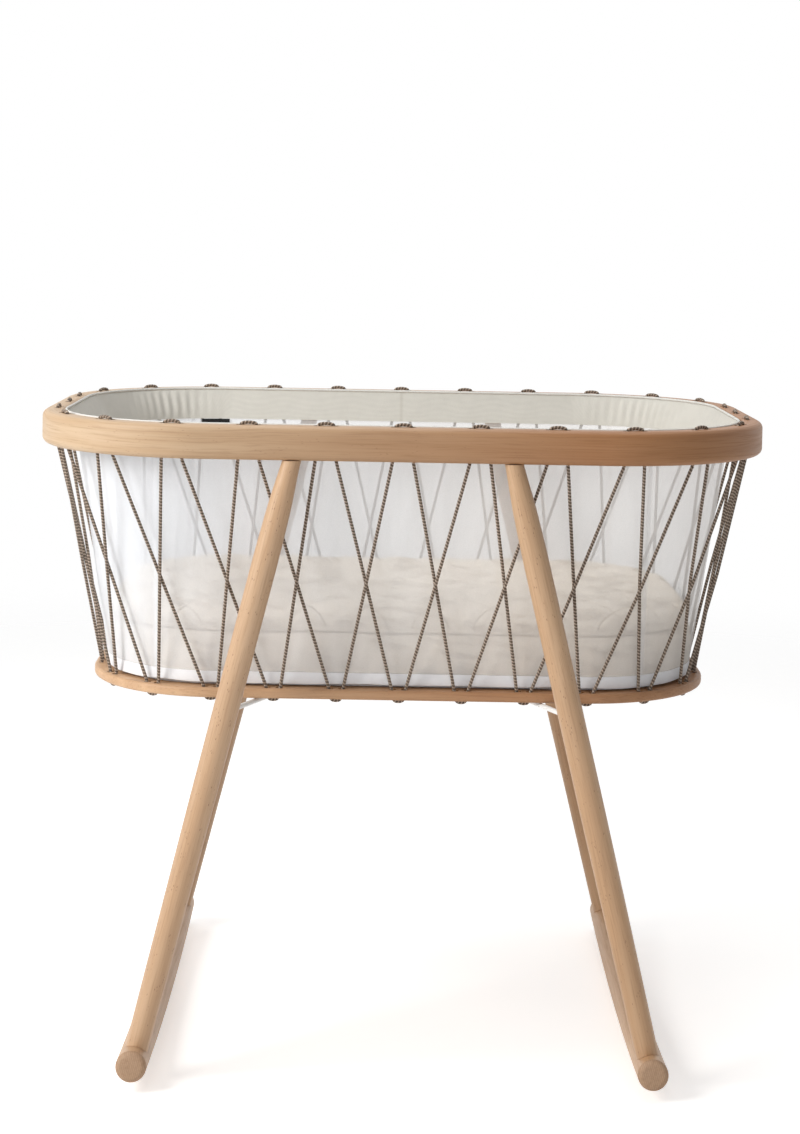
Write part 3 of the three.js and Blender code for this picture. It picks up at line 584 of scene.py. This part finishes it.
def cloth(name, colour, thread=0.0007, weave=0.35, crease=0.2, shade=0.12, marks_and_painted_shade=None):
    """Woven cloth in space, so that the weave needs no layout of the surface."""
    s = Surface(name, Roughness=0.92, Specular_IOR_Level=0.25, Sheen_Weight=0.2, Sheen_Roughness=0.5)
    place = s.place()
    x, y, z = s.parts(place)
    turn = math.pi / thread
    knit = s.times(s.wave(s.plus(x, y), turn), s.wave(s.plus(z, s.less(x, y)), turn))
    slub = s.between(s.noise(place, 90.0, 3.0), 0.3, 0.75, 0.0, shade)
    fold = s.noise(place, 9.0, 3.0)
    base = s.blend(slub, colour, shaded(colour, 0.72))
    base = s.blend(s.between(knit, -1.0, 1.0, 0.10, 0.0), base, shaded(colour, 0.6))
    if marks_and_painted_shade:
        # Darkens the cloth where the marks lie: seams, stitch lines, and on the quilt painted shade in
        # grooves and wrinkles.
        base = s.blend(marks_and_painted_shade(s, x, y, z, fold), base, shaded(colour, 0.40, 0.34, 0.27))
    bumpy = s.bump(fold, crease, 0.01)
    return s.use(Base_Color=base, Normal=s.bump(knit, weave, 0.0003, bumpy))


def net_cloth(name, colour, painted_warm_shade, cover):
    """Fine knitted net, too fine to see a hole: a veil with a soft mottle, and painted light that makes it
    warmer and a little darker to the right.
    """
    s = Surface(name, Roughness=0.9, Specular_IOR_Level=0.25, Sheen_Weight=0.1)
    place = s.place()
    x, y, z = s.parts(place)
    column = s.noise(s.scaled((x, 60.0), (y, 60.0), (z, 5.0)))
    thread = s.noise(place, 1400.0, 2.0)
    seam = s.near(s.math("ABSOLUTE", x), NET_SEAM_X, 0.006)
    close = s.between(x, -0.33, -0.28, 0.16, 0.0)
    cloudy = s.plus(s.times(s.less(column, 0.5), 0.10), s.times(seam, 0.22))
    fuzzy = s.times(s.less(thread, 0.5), 0.16)
    # Painted light: the net's colour turns warmer and a little darker from left to right, away from the key
    # light.
    base = s.blend(s.between(x, -0.30, 0.15, smooth=False), colour, painted_warm_shade)
    alpha = s.plus(s.plus(s.plus(cloudy, close), fuzzy), cover)
    return s.use(Base_Color=base, Alpha=alpha, Normal=s.bump(thread, 0.15, 0.0002))


def coated_steel(name, colour):
    s = Surface(name, Roughness=0.42, Coat_Weight=0.25, Coat_Roughness=0.3)
    place = s.place()
    peel = s.noise(place, 900.0, 2.0)
    base = s.blend(s.between(s.noise(place, 60.0), 0.3, 0.8), colour, shaded(colour, 0.93))
    return s.use(Base_Color=base, Normal=s.bump(peel, 0.12, 0.0002))


def zinc(name):
    s = Surface(name, Metallic=1.0)
    spangle = s.cells(s.place(), 700.0)
    base = s.blend(s.between(spangle, 0.1, 0.8), (0.62, 0.63, 0.65), (0.45, 0.46, 0.49))
    return s.use(Base_Color=base, Roughness=s.between(spangle, 0.0, 1.0, 0.28, 0.45))


def foam(name):
    s = Surface(name, Roughness=0.95)
    pore = s.cells(s.place(), 900.0)
    base = s.blend(s.between(pore, 0.1, 0.6), (0.60, 0.52, 0.36), (0.82, 0.76, 0.60))
    return s.use(Base_Color=base, Normal=s.bump(pore, 0.5, 0.0005))


BEECH = (0.73, 0.52, 0.31), (0.63, 0.415, 0.225), (0.43, 0.255, 0.125)
BOARD_BEECH = (0.66, 0.43, 0.26), (0.56, 0.345, 0.20), (0.36, 0.19, 0.10)
# Painted light for the wood: between the two x values the colour factor runs from the lit left to the
# shaded right.
RIM_PAINTED_LIGHT = ((-0.38, 0.22), (0.81, 0.84, 0.92), (0.52, 0.350, 0.240))
BOARD_PAINTED_LIGHT = ((-0.25, 0.10), (0.98, 0.97, 0.93), (0.60, 0.47, 0.36))
LEG_PAINTED_LIGHT = ((-0.30, 0.30), (0.83, 0.79, 0.83), (0.78, 0.71, 0.70))
rim_wood = wood("beech_rim", BEECH, RIM_PAINTED_LIGHT)
board_wood = wood("beech_board", BOARD_BEECH, BOARD_PAINTED_LIGHT, 0.3)
leg_wood = wood("beech_leg", BEECH, LEG_PAINTED_LIGHT, 0.7, fleck_share=1.0, coat=0.35)
rod_wood = wood("beech_rocker", BEECH, LEG_PAINTED_LIGHT, 1.3, coat=0.35)
rod_end = end_grain("beech_end", (0.48, 0.315, 0.200), (0.32, 0.19, 0.11))
cord_braid = braid("braided_cord", (0.62, 0.50, 0.40), (0.150, 0.108, 0.080), (0.060, 0.040, 0.029))
cream = cloth("cream_cotton", (0.70, 0.68, 0.622), marks_and_painted_shade=band_seam)
edge_cotton = cloth("edge_cotton", (0.82, 0.81, 0.77), 0.0006, 0.3, 0.1)
white_cotton = cloth("white_cotton", (0.94, 0.95, 0.98), 0.0006, 0.3, 0.12)
net = net_cloth("white_net", (0.86, 0.885, 0.93), (0.86, 0.85, 0.845), 0.54)
quilt = cloth("quilted_cotton", (0.99, 0.88, 0.74), 0.0008, 0.4, 0.3, 0.2, stitching_and_painted_shade)
tape_dark = cloth("dark_tape", (0.012, 0.012, 0.013), 0.0006, 0.5, 0.1)
white_steel = coated_steel("white_steel", (0.88, 0.88, 0.87))
plated = zinc("zinc_steel")
core_foam = foam("foam")


def dress(piece, material, slot_name, *nodes, body="cradle"):
    """Gives a piece its material, its body and the CAD nodes that it stands for."""
    if len(piece.data.materials) == 0:
        piece.data.materials.append(material)
    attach(piece, body)
    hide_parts(*nodes)
    return piece


# Rim


def cord_place(plan, place, offset):
    x, y, _, _ = point_along(plan, place * perimeter(plan) / LOOPS + offset)
    return x, y


def cord_holes(plan, span, low, high):
    """A bore for each end of each loop, from past the bottom to past the top."""
    runs = []
    past = 0.006
    for place in range(LOOPS):
        for side in (-1, 1):
            x, y = cord_place(plan, place, side * span / 2)
            runs.append(((x, y, low - past), (x, y, high + past)))
    return cylinder_tool(runs, HOLE_RADIUS)


def build_rim():
    outer, inner = round_edge(RIM_OUTER_ROUND, 7), round_edge(RIM_INNER_ROUND, 4)
    profile = [(grown(RIM_PLAN, -i), RIM_BOTTOM + h) for i, h in reversed(outer)]
    profile += [(grown(RIM_PLAN, -i), RIM_TOP - h) for i, h in outer]
    profile += [(grown(RIM_INNER, i), RIM_TOP - h) for i, h in reversed(inner)]
    profile += [(grown(RIM_INNER, i), RIM_BOTTOM + h) for i, h in inner]
    piece = ring("top_rim_wood", profile)
    carve(piece, cord_holes(RIM_CORD, RIM_SPAN, RIM_BOTTOM, RIM_TOP))
    store_along(piece, RIM_PLAN)
    dress(piece, rim_wood, "beech", "top_rim")


def build_board():
    edge = round_edge(BOARD_ROUND, 4)
    rows = [plan_row(grown(BOARD_PLAN, -i), BOARD_BOTTOM + h) for i, h in reversed(edge)]
    rows += [plan_row(grown(BOARD_PLAN, -i), BOARD_TOP - h) for i, h in edge]
    piece = loft("base_board_wood", rows)
    carve(piece, cord_holes(BOARD_CORD, BOARD_SPAN, BOARD_BOTTOM, BOARD_TOP))
    store_line(piece, (0, 0, 0), (1, 0, 0))
    dress(piece, board_wood, "beech", "base_board")


build_rim()
build_board()

# Rockers and legs


def rod_axis_height(y):
    return ROD_RADIUS + ARC_RADIUS - math.sqrt(ARC_RADIUS**2 - y**2)


def build_rocker(side):
    """A round rod along the rocker's arc, with rounded ends."""
    angle = math.asin(ROD_HALF_LENGTH / ARC_RADIUS)
    sides = 48
    soft = [
        (ROD_END_ROUND * (1 - math.sin(a)), ROD_END_ROUND * (1 - math.cos(a)))
        for a in np.linspace(0, math.pi / 2, 9)
    ]
    turns = [(-angle + back / ARC_RADIUS, ROD_RADIUS - inset) for back, inset in reversed(soft)]
    turns += [(turn, ROD_RADIUS) for turn in np.linspace(-angle, angle, 50)[1:-1]]
    turns += [(angle - back / ARC_RADIUS, ROD_RADIUS - inset) for back, inset in soft]
    rows = []
    for turn, radius in turns:
        row = []
        for step in range(sides):
            around = 2 * math.pi * step / sides
            drop = ARC_RADIUS + radius * math.cos(around)
            x = side * ROD_X + radius * math.sin(around)
            row.append((x, drop * math.sin(turn), ARC_RADIUS + ROD_RADIUS - drop * math.cos(turn)))
        rows.append(row)
    name = "left" if side < 0 else "right"
    piece = loft(f"rocker_{name}_wood", rows, smooth_angle=50)
    values = coordinates(piece)
    grain = np.stack([values[:, 1], values[:, 0], values[:, 2]], axis=1)
    store(piece, grain[corner_vertices(piece)])
    piece.data.materials.append(rod_wood)
    piece.data.materials.append(rod_end)
    for face in piece.data.polygons:
        band = face.index // sides
        face.material_index = int(band < len(soft) - 1 or band >= len(rows) - len(soft))
    dress(piece, rod_wood, "beech", f"rocker_{name}")


def leg_line(side_x, side_y):
    foot = Vector((side_x * ROD_X, side_y * LEG_FOOT_Y, rod_axis_height(LEG_FOOT_Y)))
    top = Vector((side_x * LEG_TOP_X, side_y * LEG_TOP_Y, RIM_BOTTOM))
    return foot, top, (top - foot).normalized()


def brace_line(side_x, side_y):
    foot, _, heading = leg_line(side_x, side_y)
    end = foot + heading * ((BRACE_Z - foot.z) / heading.z)
    root = Vector((side_x * BRACE_ROOT_X, side_y * BRACE_ROOT_Y, BRACE_Z))
    return root, end


def smooth_radius(drop, length):
    """A leg's radius at a distance below its top, eased between its sizes."""
    drops = [0.0, 0.055, 0.115, length - 0.320, length]
    window = 0.018
    nearby = np.clip(drop + np.linspace(-window, window, 9), 0, length)
    return float(np.mean(np.interp(nearby, drops, LEG_RADII)))


def build_leg(side_x, side_y, name):
    """A tapered rod, cut to the rocker at its foot and level at its top."""
    foot, top, heading = leg_line(side_x, side_y)
    length = (top - foot).length
    past_top, block = 0.006, 0.04
    reach = length + past_top
    steps = np.concatenate([np.linspace(0, reach - 0.14, 24), np.linspace(reach - 0.135, reach, 22)])
    places = [foot + heading * step for step in steps]
    radii = [smooth_radius(length - step, length) for step in steps]
    piece = rod_mesh(f"leg_{name}_wood", places, radii)
    rod_line = []
    for angle in np.linspace(-0.12, 0.12, 40):
        z = ARC_RADIUS + ROD_RADIUS - ARC_RADIUS * math.cos(angle)
        rod_line.append((side_x * ROD_X, ARC_RADIUS * math.sin(angle), z))
    carve(piece, rod_mesh("tool", rod_line, [ROD_RADIUS + GAP] * len(rod_line), 48))
    bpy.ops.mesh.primitive_cube_add(size=block, location=(top.x, top.y, RIM_BOTTOM - GAP + block / 2))
    carve(piece, bpy.context.object)
    store_line(piece, foot, heading)
    dress(piece, leg_wood, "beech", f"leg_{name}")


CORNERS = [(-1, -1, "front_left"), (1, -1, "front_right"), (-1, 1, "back_left"), (1, 1, "back_right")]
for side in (-1, 1):
    build_rocker(side)
for side_x, side_y, name in CORNERS:
    build_leg(side_x, side_y, name)


# Brace and fasteners


def build_brace_rod(side_x, side_y, name):
    root, end = brace_line(side_x, side_y)
    places = [root.lerp(end, t) for t in np.linspace(0, 1, 12)]
    piece = rod_mesh(f"brace_rod_{name}_steel", places, [BRACE_RADIUS] * len(places), 24)
    dress(piece, white_steel, "white_steel", f"brace_rod_{name}")


for side_x, side_y, name in CORNERS:
    build_brace_rod(side_x, side_y, name)


def soften(node, material, width):
    """A CAD node keeps its shape and gets a material and softened edges."""
    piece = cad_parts[node]
    for material_slot in piece.material_slots:
        material_slot.material = material
    if width:
        bevel = piece.modifiers.new("edge", "BEVEL")
        bevel.width = width
        bevel.segments = 2
        bevel.limit_method = "ANGLE"
        bevel.angle_limit = math.radians(40)


soften("brace_hub", white_steel, 0.0008)
for number in range(1, 5):
    soften(f"hub_screw_{number}", plated, 0.0003)
for _, _, name in CORNERS:
    for kind in ("rim_sleeve", "leg_stud", "foot_sleeve", "foot_bolt"):
        soften(f"{kind}_{name}", plated, 0)


# Lacing cords: the same routes as in the CAD, with their bends rounded


def lacing_point(plan, place, offset, z):
    return Vector((*cord_place(plan, place, offset), z))


RISE, BEND_OUT, SHOULDER, LOOP_ARCH = 0.0004, 0.0012, 0.0035, 0.0006


def bay_crossing(bay):
    """Where the two strands of a bay pass, the rightward one outside."""
    top, low = RIM_BOTTOM - BEND_OUT, BOARD_TOP + BEND_OUT
    rim_half, board_half = RIM_SPAN / 2 + CORD_LEAN, BOARD_SPAN / 2 + CORD_LEAN
    a = lacing_point(RIM_CORD, bay, rim_half, top)
    b = lacing_point(RIM_CORD, bay + 1, -rim_half, top)
    run_a = lacing_point(BOARD_CORD, bay + 1, -board_half, low) - a
    run_b = lacing_point(BOARD_CORD, bay, board_half, low) - b
    apart = a - b
    normal = run_a.cross(run_b).normalized()
    if normal.dot(Vector((a.x + b.x, a.y + b.y, 0))) < 0:
        normal.negate()
    aa, ab, bb = run_a.dot(run_a), run_a.dot(run_b), run_b.dot(run_b)
    ad, bd = run_a.dot(apart), run_b.dot(apart)
    share_a = (ab * bd - bb * ad) / (aa * bb - ab * ab)
    share_b = (aa * bd - ab * ad) / (aa * bb - ab * ab)
    centre = (a + run_a * share_a + b + run_b * share_b) / 2
    offset = CORD_RADIUS + GAP / 2
    return centre + normal * offset, centre - normal * offset


def rim_loop(place):
    outer, inner = RIM_SPAN / 2 + CORD_LEAN, RIM_SPAN / 2 - CORD_LEAN
    over = RIM_TOP + CORD_RADIUS + RISE
    steps = [
        (-outer, RIM_BOTTOM - BEND_OUT), (-inner, RIM_TOP + BEND_OUT),
        (SHOULDER - inner, over), (0, over + LOOP_ARCH), (inner - SHOULDER, over),
        (inner, RIM_TOP + BEND_OUT), (outer, RIM_BOTTOM - BEND_OUT),
    ]
    return [lacing_point(RIM_CORD, place, offset, z) for offset, z in steps]


def board_loop(place):
    outer, inner = BOARD_SPAN / 2 + CORD_LEAN, BOARD_SPAN / 2 - CORD_LEAN
    under = BOARD_BOTTOM - CORD_RADIUS - RISE
    steps = [
        (-outer, BOARD_TOP + BEND_OUT), (-inner, BOARD_BOTTOM - BEND_OUT), (SHOULDER - inner, under),
        (inner - SHOULDER, under), (inner, BOARD_BOTTOM - BEND_OUT), (outer, BOARD_TOP + BEND_OUT),
    ]
    return [lacing_point(BOARD_CORD, place, offset, z) for offset, z in steps]


def rounded(points, reach, steps=5):
    """Rounds each corner of a line with a short smooth bend."""
    line = [points[0]]
    for before, corner, after in zip(points, points[1:], points[2:]):
        back, onward = before - corner, after - corner
        start = corner + back.normalized() * min(reach, back.length * 0.48)
        end = corner + onward.normalized() * min(reach, onward.length * 0.48)
        for step in range(steps + 1):
            t = step / steps
            line.append(start * (1 - t) ** 2 + corner * 2 * t * (1 - t) + end * t**2)
    return line + [points[-1]]


def knot_end(place, side):
    """The line and radii of a knotted end, from the board's top face down."""
    heights, radii = [BOARD_TOP + BEND_OUT, BOARD_BOTTOM - GAP], [CORD_RADIUS, CORD_RADIUS]
    top = BOARD_BOTTOM - GAP - RISE
    for share in np.linspace(0.02, 0.98, 15):
        heights.append(top - KNOT_HEIGHT * share)
        wrap = 0.9 + 0.1 * math.cos(6 * math.pi * share)
        radii.append(CORD_RADIUS + KNOT_SWELL * math.sqrt(math.sin(math.pi * share)) * wrap)
    low = top - KNOT_HEIGHT - RISE
    heights += [low, low - CORD_TAIL]
    radii += [CORD_RADIUS, CORD_RADIUS]
    offsets = [BOARD_SPAN / 2 + CORD_LEAN] + [BOARD_SPAN / 2] * (len(heights) - 1)
    places = [lacing_point(BOARD_CORD, place, side * o, z) for o, z in zip(offsets, heights)]
    return places, radii


def build_cord(name, start):
    line = []
    for step in range(0, LOOPS, 2):
        place = start + step + 1
        line.append(bay_crossing(place - 1)[1])
        line += rim_loop(place)
        line.append(bay_crossing(place)[0])
        if step + 2 < LOOPS:
            line += board_loop(place + 1)
    first, first_radii = knot_end(start, 1)
    last, last_radii = knot_end(start, -1)
    middle = rounded([first[0]] + line + [last[0]], 0.0030)[1:-1]
    points = first[::-1] + middle + last
    radii = first_radii[::-1] + [CORD_RADIUS] * len(middle) + last_radii
    sides = 14
    piece = rod_mesh(f"{name}_braid", points, radii, sides, smooth_angle=60)
    store_turns(piece, points, sides)
    dress(piece, cord_braid, "braided_cord", name)


def store_turns(piece, points, sides):
    """Distance along a cord, and the share of a turn round it."""
    runs = [(b - a).length for a, b in zip(points, points[1:])]
    along = np.concatenate([[0], np.cumsum(runs)])
    vertex = corner_vertices(piece)
    turn = (vertex % sides) / sides
    for face in piece.data.polygons:
        part = turn[face.loop_start:face.loop_start + face.loop_total]
        if face.loop_total == 4 and part.max() - part.min() > 0.5:
            part[part < 0.5] += 1
    store(piece, np.stack([along[vertex // sides], turn, 0 * turn], axis=1))


build_cord("lacing_cord_a", 1)
build_cord("lacing_cord_b", 0)

# Liner


def tape(name, profile, material, slot_name, node, thick):
    """A cloth wall round the basket: outer places up, then inner places down."""
    inner = [(grown(plan, -thick), z) for plan, z in reversed(profile)]
    piece = ring(name, profile + inner, smooth_angle=60)
    return dress(piece, material, slot_name, node)


def fold_depth(x, y, share):
    """How far the gathered cotton stands in, by place and by height share."""
    length, width, corner = BAND_TOP_PLAN
    along = walked(BAND_TOP_PLAN, x, y)
    past_x = np.maximum(np.abs(x) - (length - corner), 1e-9)
    past_y = np.maximum(np.abs(y) - (width - corner), 0)
    corner_share = np.clip(np.arctan2(past_y, past_x) / (math.pi / 2), 0, 1)
    broad = 0.5 - 0.5 * np.cos(2 * math.pi * 5 * corner_share)
    near_end = np.exp(-(((corner_share - 0.64) / 0.18) ** 2))
    fine = 0.5 + 0.5 * np.sin(2 * math.pi * along / 0.0125 + 2.0 * np.sin(along * 31.0))
    slow = 0.5 + 0.5 * np.sin(2 * math.pi * along / 0.083 + 1.3 * np.sin(along * 9.0))
    body = np.sin(math.pi * np.clip(share, 0, 1)) ** 0.7
    return body * (0.0011 * broad + 0.0028 * near_end * fine + 0.0006 * slow)


def build_band():
    rows = []
    levels = np.linspace(0, 1, 13)
    for inward, order in ((0.0, levels), (BAND_THICK, levels[::-1])):
        for share in order:
            plan = grown(between(BAND_TOP_PLAN, BAND_LOW_PLAN, share), -inward)
            z = BAND_TOP + (BAND_BOTTOM - BAND_TOP) * share
            row = []
            for x, y, nx, ny in stations(plan, 120, 60):
                depth = float(fold_depth(np.array(x), np.array(y), share))
                row.append((x - nx * depth, y - ny * depth, z))
            rows.append(row)
    piece = loft("liner_band_cotton", rows, rows_close=True, smooth_angle=60)
    return dress(piece, cream, "cotton", "liner_band")


def build_piping():
    line = grown(BAND_TOP_PLAN, -BAND_THICK / 2)
    sides = 14
    profile = []
    for step in range(sides):
        angle = 2 * math.pi * step / sides
        plan = grown(line, PIPING_RADIUS * math.cos(angle))
        profile.append((plan, LINER_TOP + PIPING_RADIUS * (1 + math.sin(angle))))
    piece = ring("liner_piping_cotton", profile, 60, smooth_angle=80)
    return dress(piece, edge_cotton, "cotton", "liner_piping")


def build_net():
    rows = []
    for share in np.linspace(0, 1, 25):
        z = NET_TOP + (NET_LOW - NET_TOP) * share
        rows.append(plan_row(between(BAND_LOW_PLAN, LINER_PLAN, share), z, 60, 40))
    piece = loft("liner_net_wall_net", rows, caps=False, smooth_angle=80)
    return dress(piece, net, "net", "liner_net_wall")


def build_hem():
    """The hem's lower edge waves a little where it meets the board."""
    profile = [(LINER_PLAN, HEM_BOTTOM), (LINER_PLAN, HEM_TOP)]
    piece = tape("liner_hem_cotton", profile, white_cotton, "cotton", "liner_hem", HEM_THICK)
    values = coordinates(piece)
    along = walked(LINER_PLAN, values[:, 0], values[:, 1])
    wave = np.sin(along * 41 + 1.7 * np.sin(along * 13)) * 0.5 + np.sin(along * 97) * 0.25
    low = values[:, 2] < HEM_BOTTOM + 0.0005
    values[:, 2] += np.where(low, 0.0013 * (1 + wave), 0)
    set_coordinates(piece, values)
    return piece


def build_floor_cloth():
    plan = grown(LINER_PLAN, -0.009)
    rows = [plan_row(plan, z) for z in (FLOOR_CLOTH_TOP - FLOOR_CLOTH_THICK, FLOOR_CLOTH_TOP)]
    piece = loft("liner_floor_cotton", rows)
    return dress(piece, white_cotton, "cotton", "liner_floor")


def build_tag():
    width, thick, from_middle = 0.039, 0.0008, -0.2605
    low = NET_TOP - 0.015
    rows = []
    for share in np.linspace(-0.5, 0.5, 17):
        row = []
        for z, inset in ((low, 0), (NET_TOP, 0), (NET_TOP, -thick), (low, -thick)):
            level = (NET_TOP - z) / (NET_TOP - NET_LOW)
            plan = grown(between(BAND_LOW_PLAN, LINER_PLAN, level), -0.002 + inset)
            x, y, _, _ = point_along(plan, share * width + from_middle)
            row.append((x, y, z))
        rows.append(row)
    piece = loft("liner_tag_tape", rows)
    return dress(piece, tape_dark, "tag", "liner_tag")


strip_profile = [(STRIP_PLAN, LINER_TOP - drop) for drop in (0.019, 0.001)]
strip = tape("liner_hook_strip_tape", strip_profile, cream, "cotton", "liner_hook_strip", STRIP_THICK)
band = build_band()
piping = build_piping()
net_wall = build_net()
hem = build_hem()
floor_cloth = build_floor_cloth()
tag = build_tag()

# Mattress


def cover_height(x, y):
    """The crowned top before it is quilted."""
    depth = np.maximum(inset_from(COVER_PLAN, x, y), 0)
    fall = 1 - np.minimum(depth / CROWN_RUN, 1)
    return SEAM_Z + MATTRESS_CROWN * np.sqrt(1 - fall**2)


def channel_distance(x, y):
    """Distance to the nearest stitched channel of the diamond quilt."""
    turns = np.stack([x + y, x - y]) / QUILT
    return np.abs(turns - np.round(turns)).min(axis=0) * QUILT / math.sqrt(2)


def cover_blank():
    """The cover before it is quilted: sides drawn in at the seam and a crowned top."""
    profile = [
        (0.012, 0.0), (0.004, 0.001), (0.001, 0.008), (0.0, 0.018), (-0.002, 0.030), (-0.002, 0.050),
        (0.001, MATTRESS_SEAM),
    ]
    rows = [plan_row(grown(MATTRESS_PLAN, -i), MATTRESS_BOTTOM + h, 24, 24) for i, h in profile]
    for inset in np.concatenate([np.linspace(0.0025, 0.040, 16), np.linspace(0.046, 0.130, 10)]):
        row = plan_row(grown(COVER_PLAN, -inset), 0, 24, 24)
        rows.append([(x, y, float(cover_height(np.array(x), np.array(y)))) for x, y, _ in row])
    return loft("mattress_cover_quilt", rows, smooth_angle=60)


def modifier(piece, kind, **settings):
    made = piece.modifiers.new(kind.lower(), kind)
    for key, value in settings.items():
        setattr(made, key, value)
    return made


def puff(piece, pinned, most):
    """Blows a piece up like a filled cover, held at its pinned vertices."""
    frames = 20
    rest = coordinates(piece)
    group = piece.vertex_groups.new(name="held")
    for index, weight in enumerate(pinned):
        if weight > 0.01:
            group.add([index], float(weight), "REPLACE")
    cloth_sim = modifier(piece, "CLOTH")
    settings = cloth_sim.settings
    settings.vertex_group_mass = "held"
    settings.quality = 5
    settings.mass = 0.2
    settings.tension_stiffness = settings.compression_stiffness = 12
    settings.shear_stiffness = 6
    settings.bending_stiffness = 0.15
    settings.shrink_min = -0.035
    settings.use_pressure = True
    settings.uniform_pressure_force = 4
    settings.effector_weights.gravity = 0
    cloth_sim.collision_settings.use_collision = False
    cloth_sim.point_cache.frame_start = 1
    cloth_sim.point_cache.frame_end = frames
    for number in range(1, frames + 1):
        scene.frame_set(number)
    apply_modifiers(piece)
    piece.vertex_groups.clear()
    moved = coordinates(piece) - rest
    far = np.linalg.norm(moved, axis=1, keepdims=True)
    set_coordinates(piece, rest + moved * np.minimum(1, most[:, None] / np.maximum(far, 1e-9)))
    scene.frame_set(1)


def build_cover():
    piece = cover_blank()
    modifier(piece, "REMESH", mode="VOXEL", voxel_size=0.0055, adaptivity=0)
    modifier(piece, "SMOOTH", factor=0.5, iterations=4)
    apply_modifiers(piece)
    values = coordinates(piece)
    x, y, z = values.T
    depth = inset_from(MATTRESS_PLAN, x, y)
    on_top = np.clip((z - SEAM_Z - 0.004) / 0.008, 0, 1)
    groove_width, groove_depth, seam_depth = 0.0045, 0.0038, 0.0012
    groove = np.exp(-((channel_distance(x, y) / groove_width) ** 2))
    values[:, 2] -= groove_depth * groove * on_top
    at_seam = (np.abs(z - SEAM_Z) < 0.0035) & (depth < 0.008)
    beside = np.where(at_seam, seam_depth, 0)
    values[:, 0] -= np.sign(x) * beside * (np.abs(x) > 0.24)
    values[:, 1] -= np.sign(y) * beside
    set_coordinates(piece, values)
    stitched = (channel_distance(x, y) < 0.0035) & (z > SEAM_Z + 0.006)
    low = z < MATTRESS_BOTTOM + 0.006
    pinned = np.where(stitched | at_seam | low, 1.0, 0.0)
    most_on_top, most_beside = 0.0065, 0.0022
    puff(piece, pinned, np.where(z > SEAM_Z + 0.003, most_on_top, most_beside))
    modifier(piece, "SUBSURF", levels=1, render_levels=1)
    apply_modifiers(piece)
    piece.data.shade_smooth()
    return dress(piece, quilt, "quilted_cotton", "mattress_cover", body="mattress")


def build_core():
    plan = grown(MATTRESS_PLAN, -0.012)
    top = SEAM_Z + MATTRESS_CROWN - 0.027
    edge = round_edge(0.002, 3)
    rows = [plan_row(grown(plan, -i), MATTRESS_BOTTOM + h, 24, 8) for i, h in reversed(edge)]
    rows += [plan_row(grown(plan, -i), top - h, 24, 8) for i, h in edge]
    piece = loft("mattress_core_foam", rows)
    return dress(piece, core_foam, "foam", "mattress_core", body="mattress")


core = build_core()
cover = build_cover()

# Floor, light and background


def build_floor():
    """A white floor that fades out into the background."""
    fade_start, fade_end, radius, below = 1.5, 3.4, 7, 0.0004
    bpy.ops.mesh.primitive_circle_add(vertices=96, radius=radius, fill_type="NGON", location=(0, 0, -below))
    floor = bpy.context.object
    floor.name = "floor"
    s = Surface("floor_white")
    far = s.node("VectorMath", {0: s.place()}, operation="LENGTH").outputs["Value"]
    white = s.node("BsdfDiffuse", {"Color": (0.94, 0.935, 0.93, 1)}).outputs[0]
    glow = s.node("Emission", {"Color": (1, 1, 1, 1), "Strength": 0.50}).outputs[0]
    lifted = s.node("AddShader", {0: white, 1: glow}).outputs[0]
    seen = s.node("MixShader", {0: s.background_rays(), 1: white, 2: lifted}).outputs[0]
    clear = s.node("BsdfTransparent").outputs[0]
    mixed = s.node("MixShader", {0: s.between(far, fade_start, fade_end), 1: seen, 2: clear}).outputs[0]
    s.tree.nodes.remove(s.shader)
    s.tree.links.new(mixed, s.tree.nodes["Material Output"].inputs["Surface"])
    floor.data.materials.append(s.material)


def build_world():
    """White where it is seen itself, and dimmer as a light."""
    world = bpy.data.worlds.new("studio")
    world.use_nodes = True
    scene.world = world
    s = Nodes(world.node_tree)
    dim = s.tree.nodes["Background"]
    dim.inputs["Color"].default_value = (1, 1, 1, 1)
    dim.inputs["Strength"].default_value = 0.25
    bright = s.node("Background", {"Color": (1, 1, 1, 1), "Strength": 1.0}).outputs[0]
    seen = s.node("MixShader", {0: s.background_rays(), 1: dim.outputs[0], 2: bright}).outputs[0]
    s.tree.links.new(seen, s.tree.nodes["World Output"].inputs["Surface"])


def area_light(name, place, target, size, watts, colour=(1, 1, 1)):
    data = bpy.data.lights.new(name, "AREA")
    data.shape = "RECTANGLE"
    data.size = data.size_y = size
    data.energy, data.color = watts, colour
    light = bpy.data.objects.new(name, data)
    heading = Vector(target) - Vector(place)
    turned = heading.to_track_quat("-Z", "Y").to_matrix().to_4x4()
    light.matrix_world = Matrix.Translation(place) @ turned
    scene.collection.objects.link(light)
    light.visible_camera = False


build_floor()
build_world()
area_light("key", (-1.9, -1.25, 1.7), (0, 0, 0.55), 1.1, 42, (1.0, 0.985, 0.96))
area_light("side", (-2.4, -0.5, 0.35), (0.3, 0, 0.12), 1.0, 8)
area_light("top", (-0.2, 0.3, 3.2), (0, 0, 0.4), 2.4, 38)
area_light("front", (0.2, -3.8, 1.6), (0, 0, 0.5), 2.0, 6, (0.98, 0.99, 1.0))
area_light("bounce", (0, -1.1, 0.03), (0, -0.3, 0.8), 1.8, 5.5)
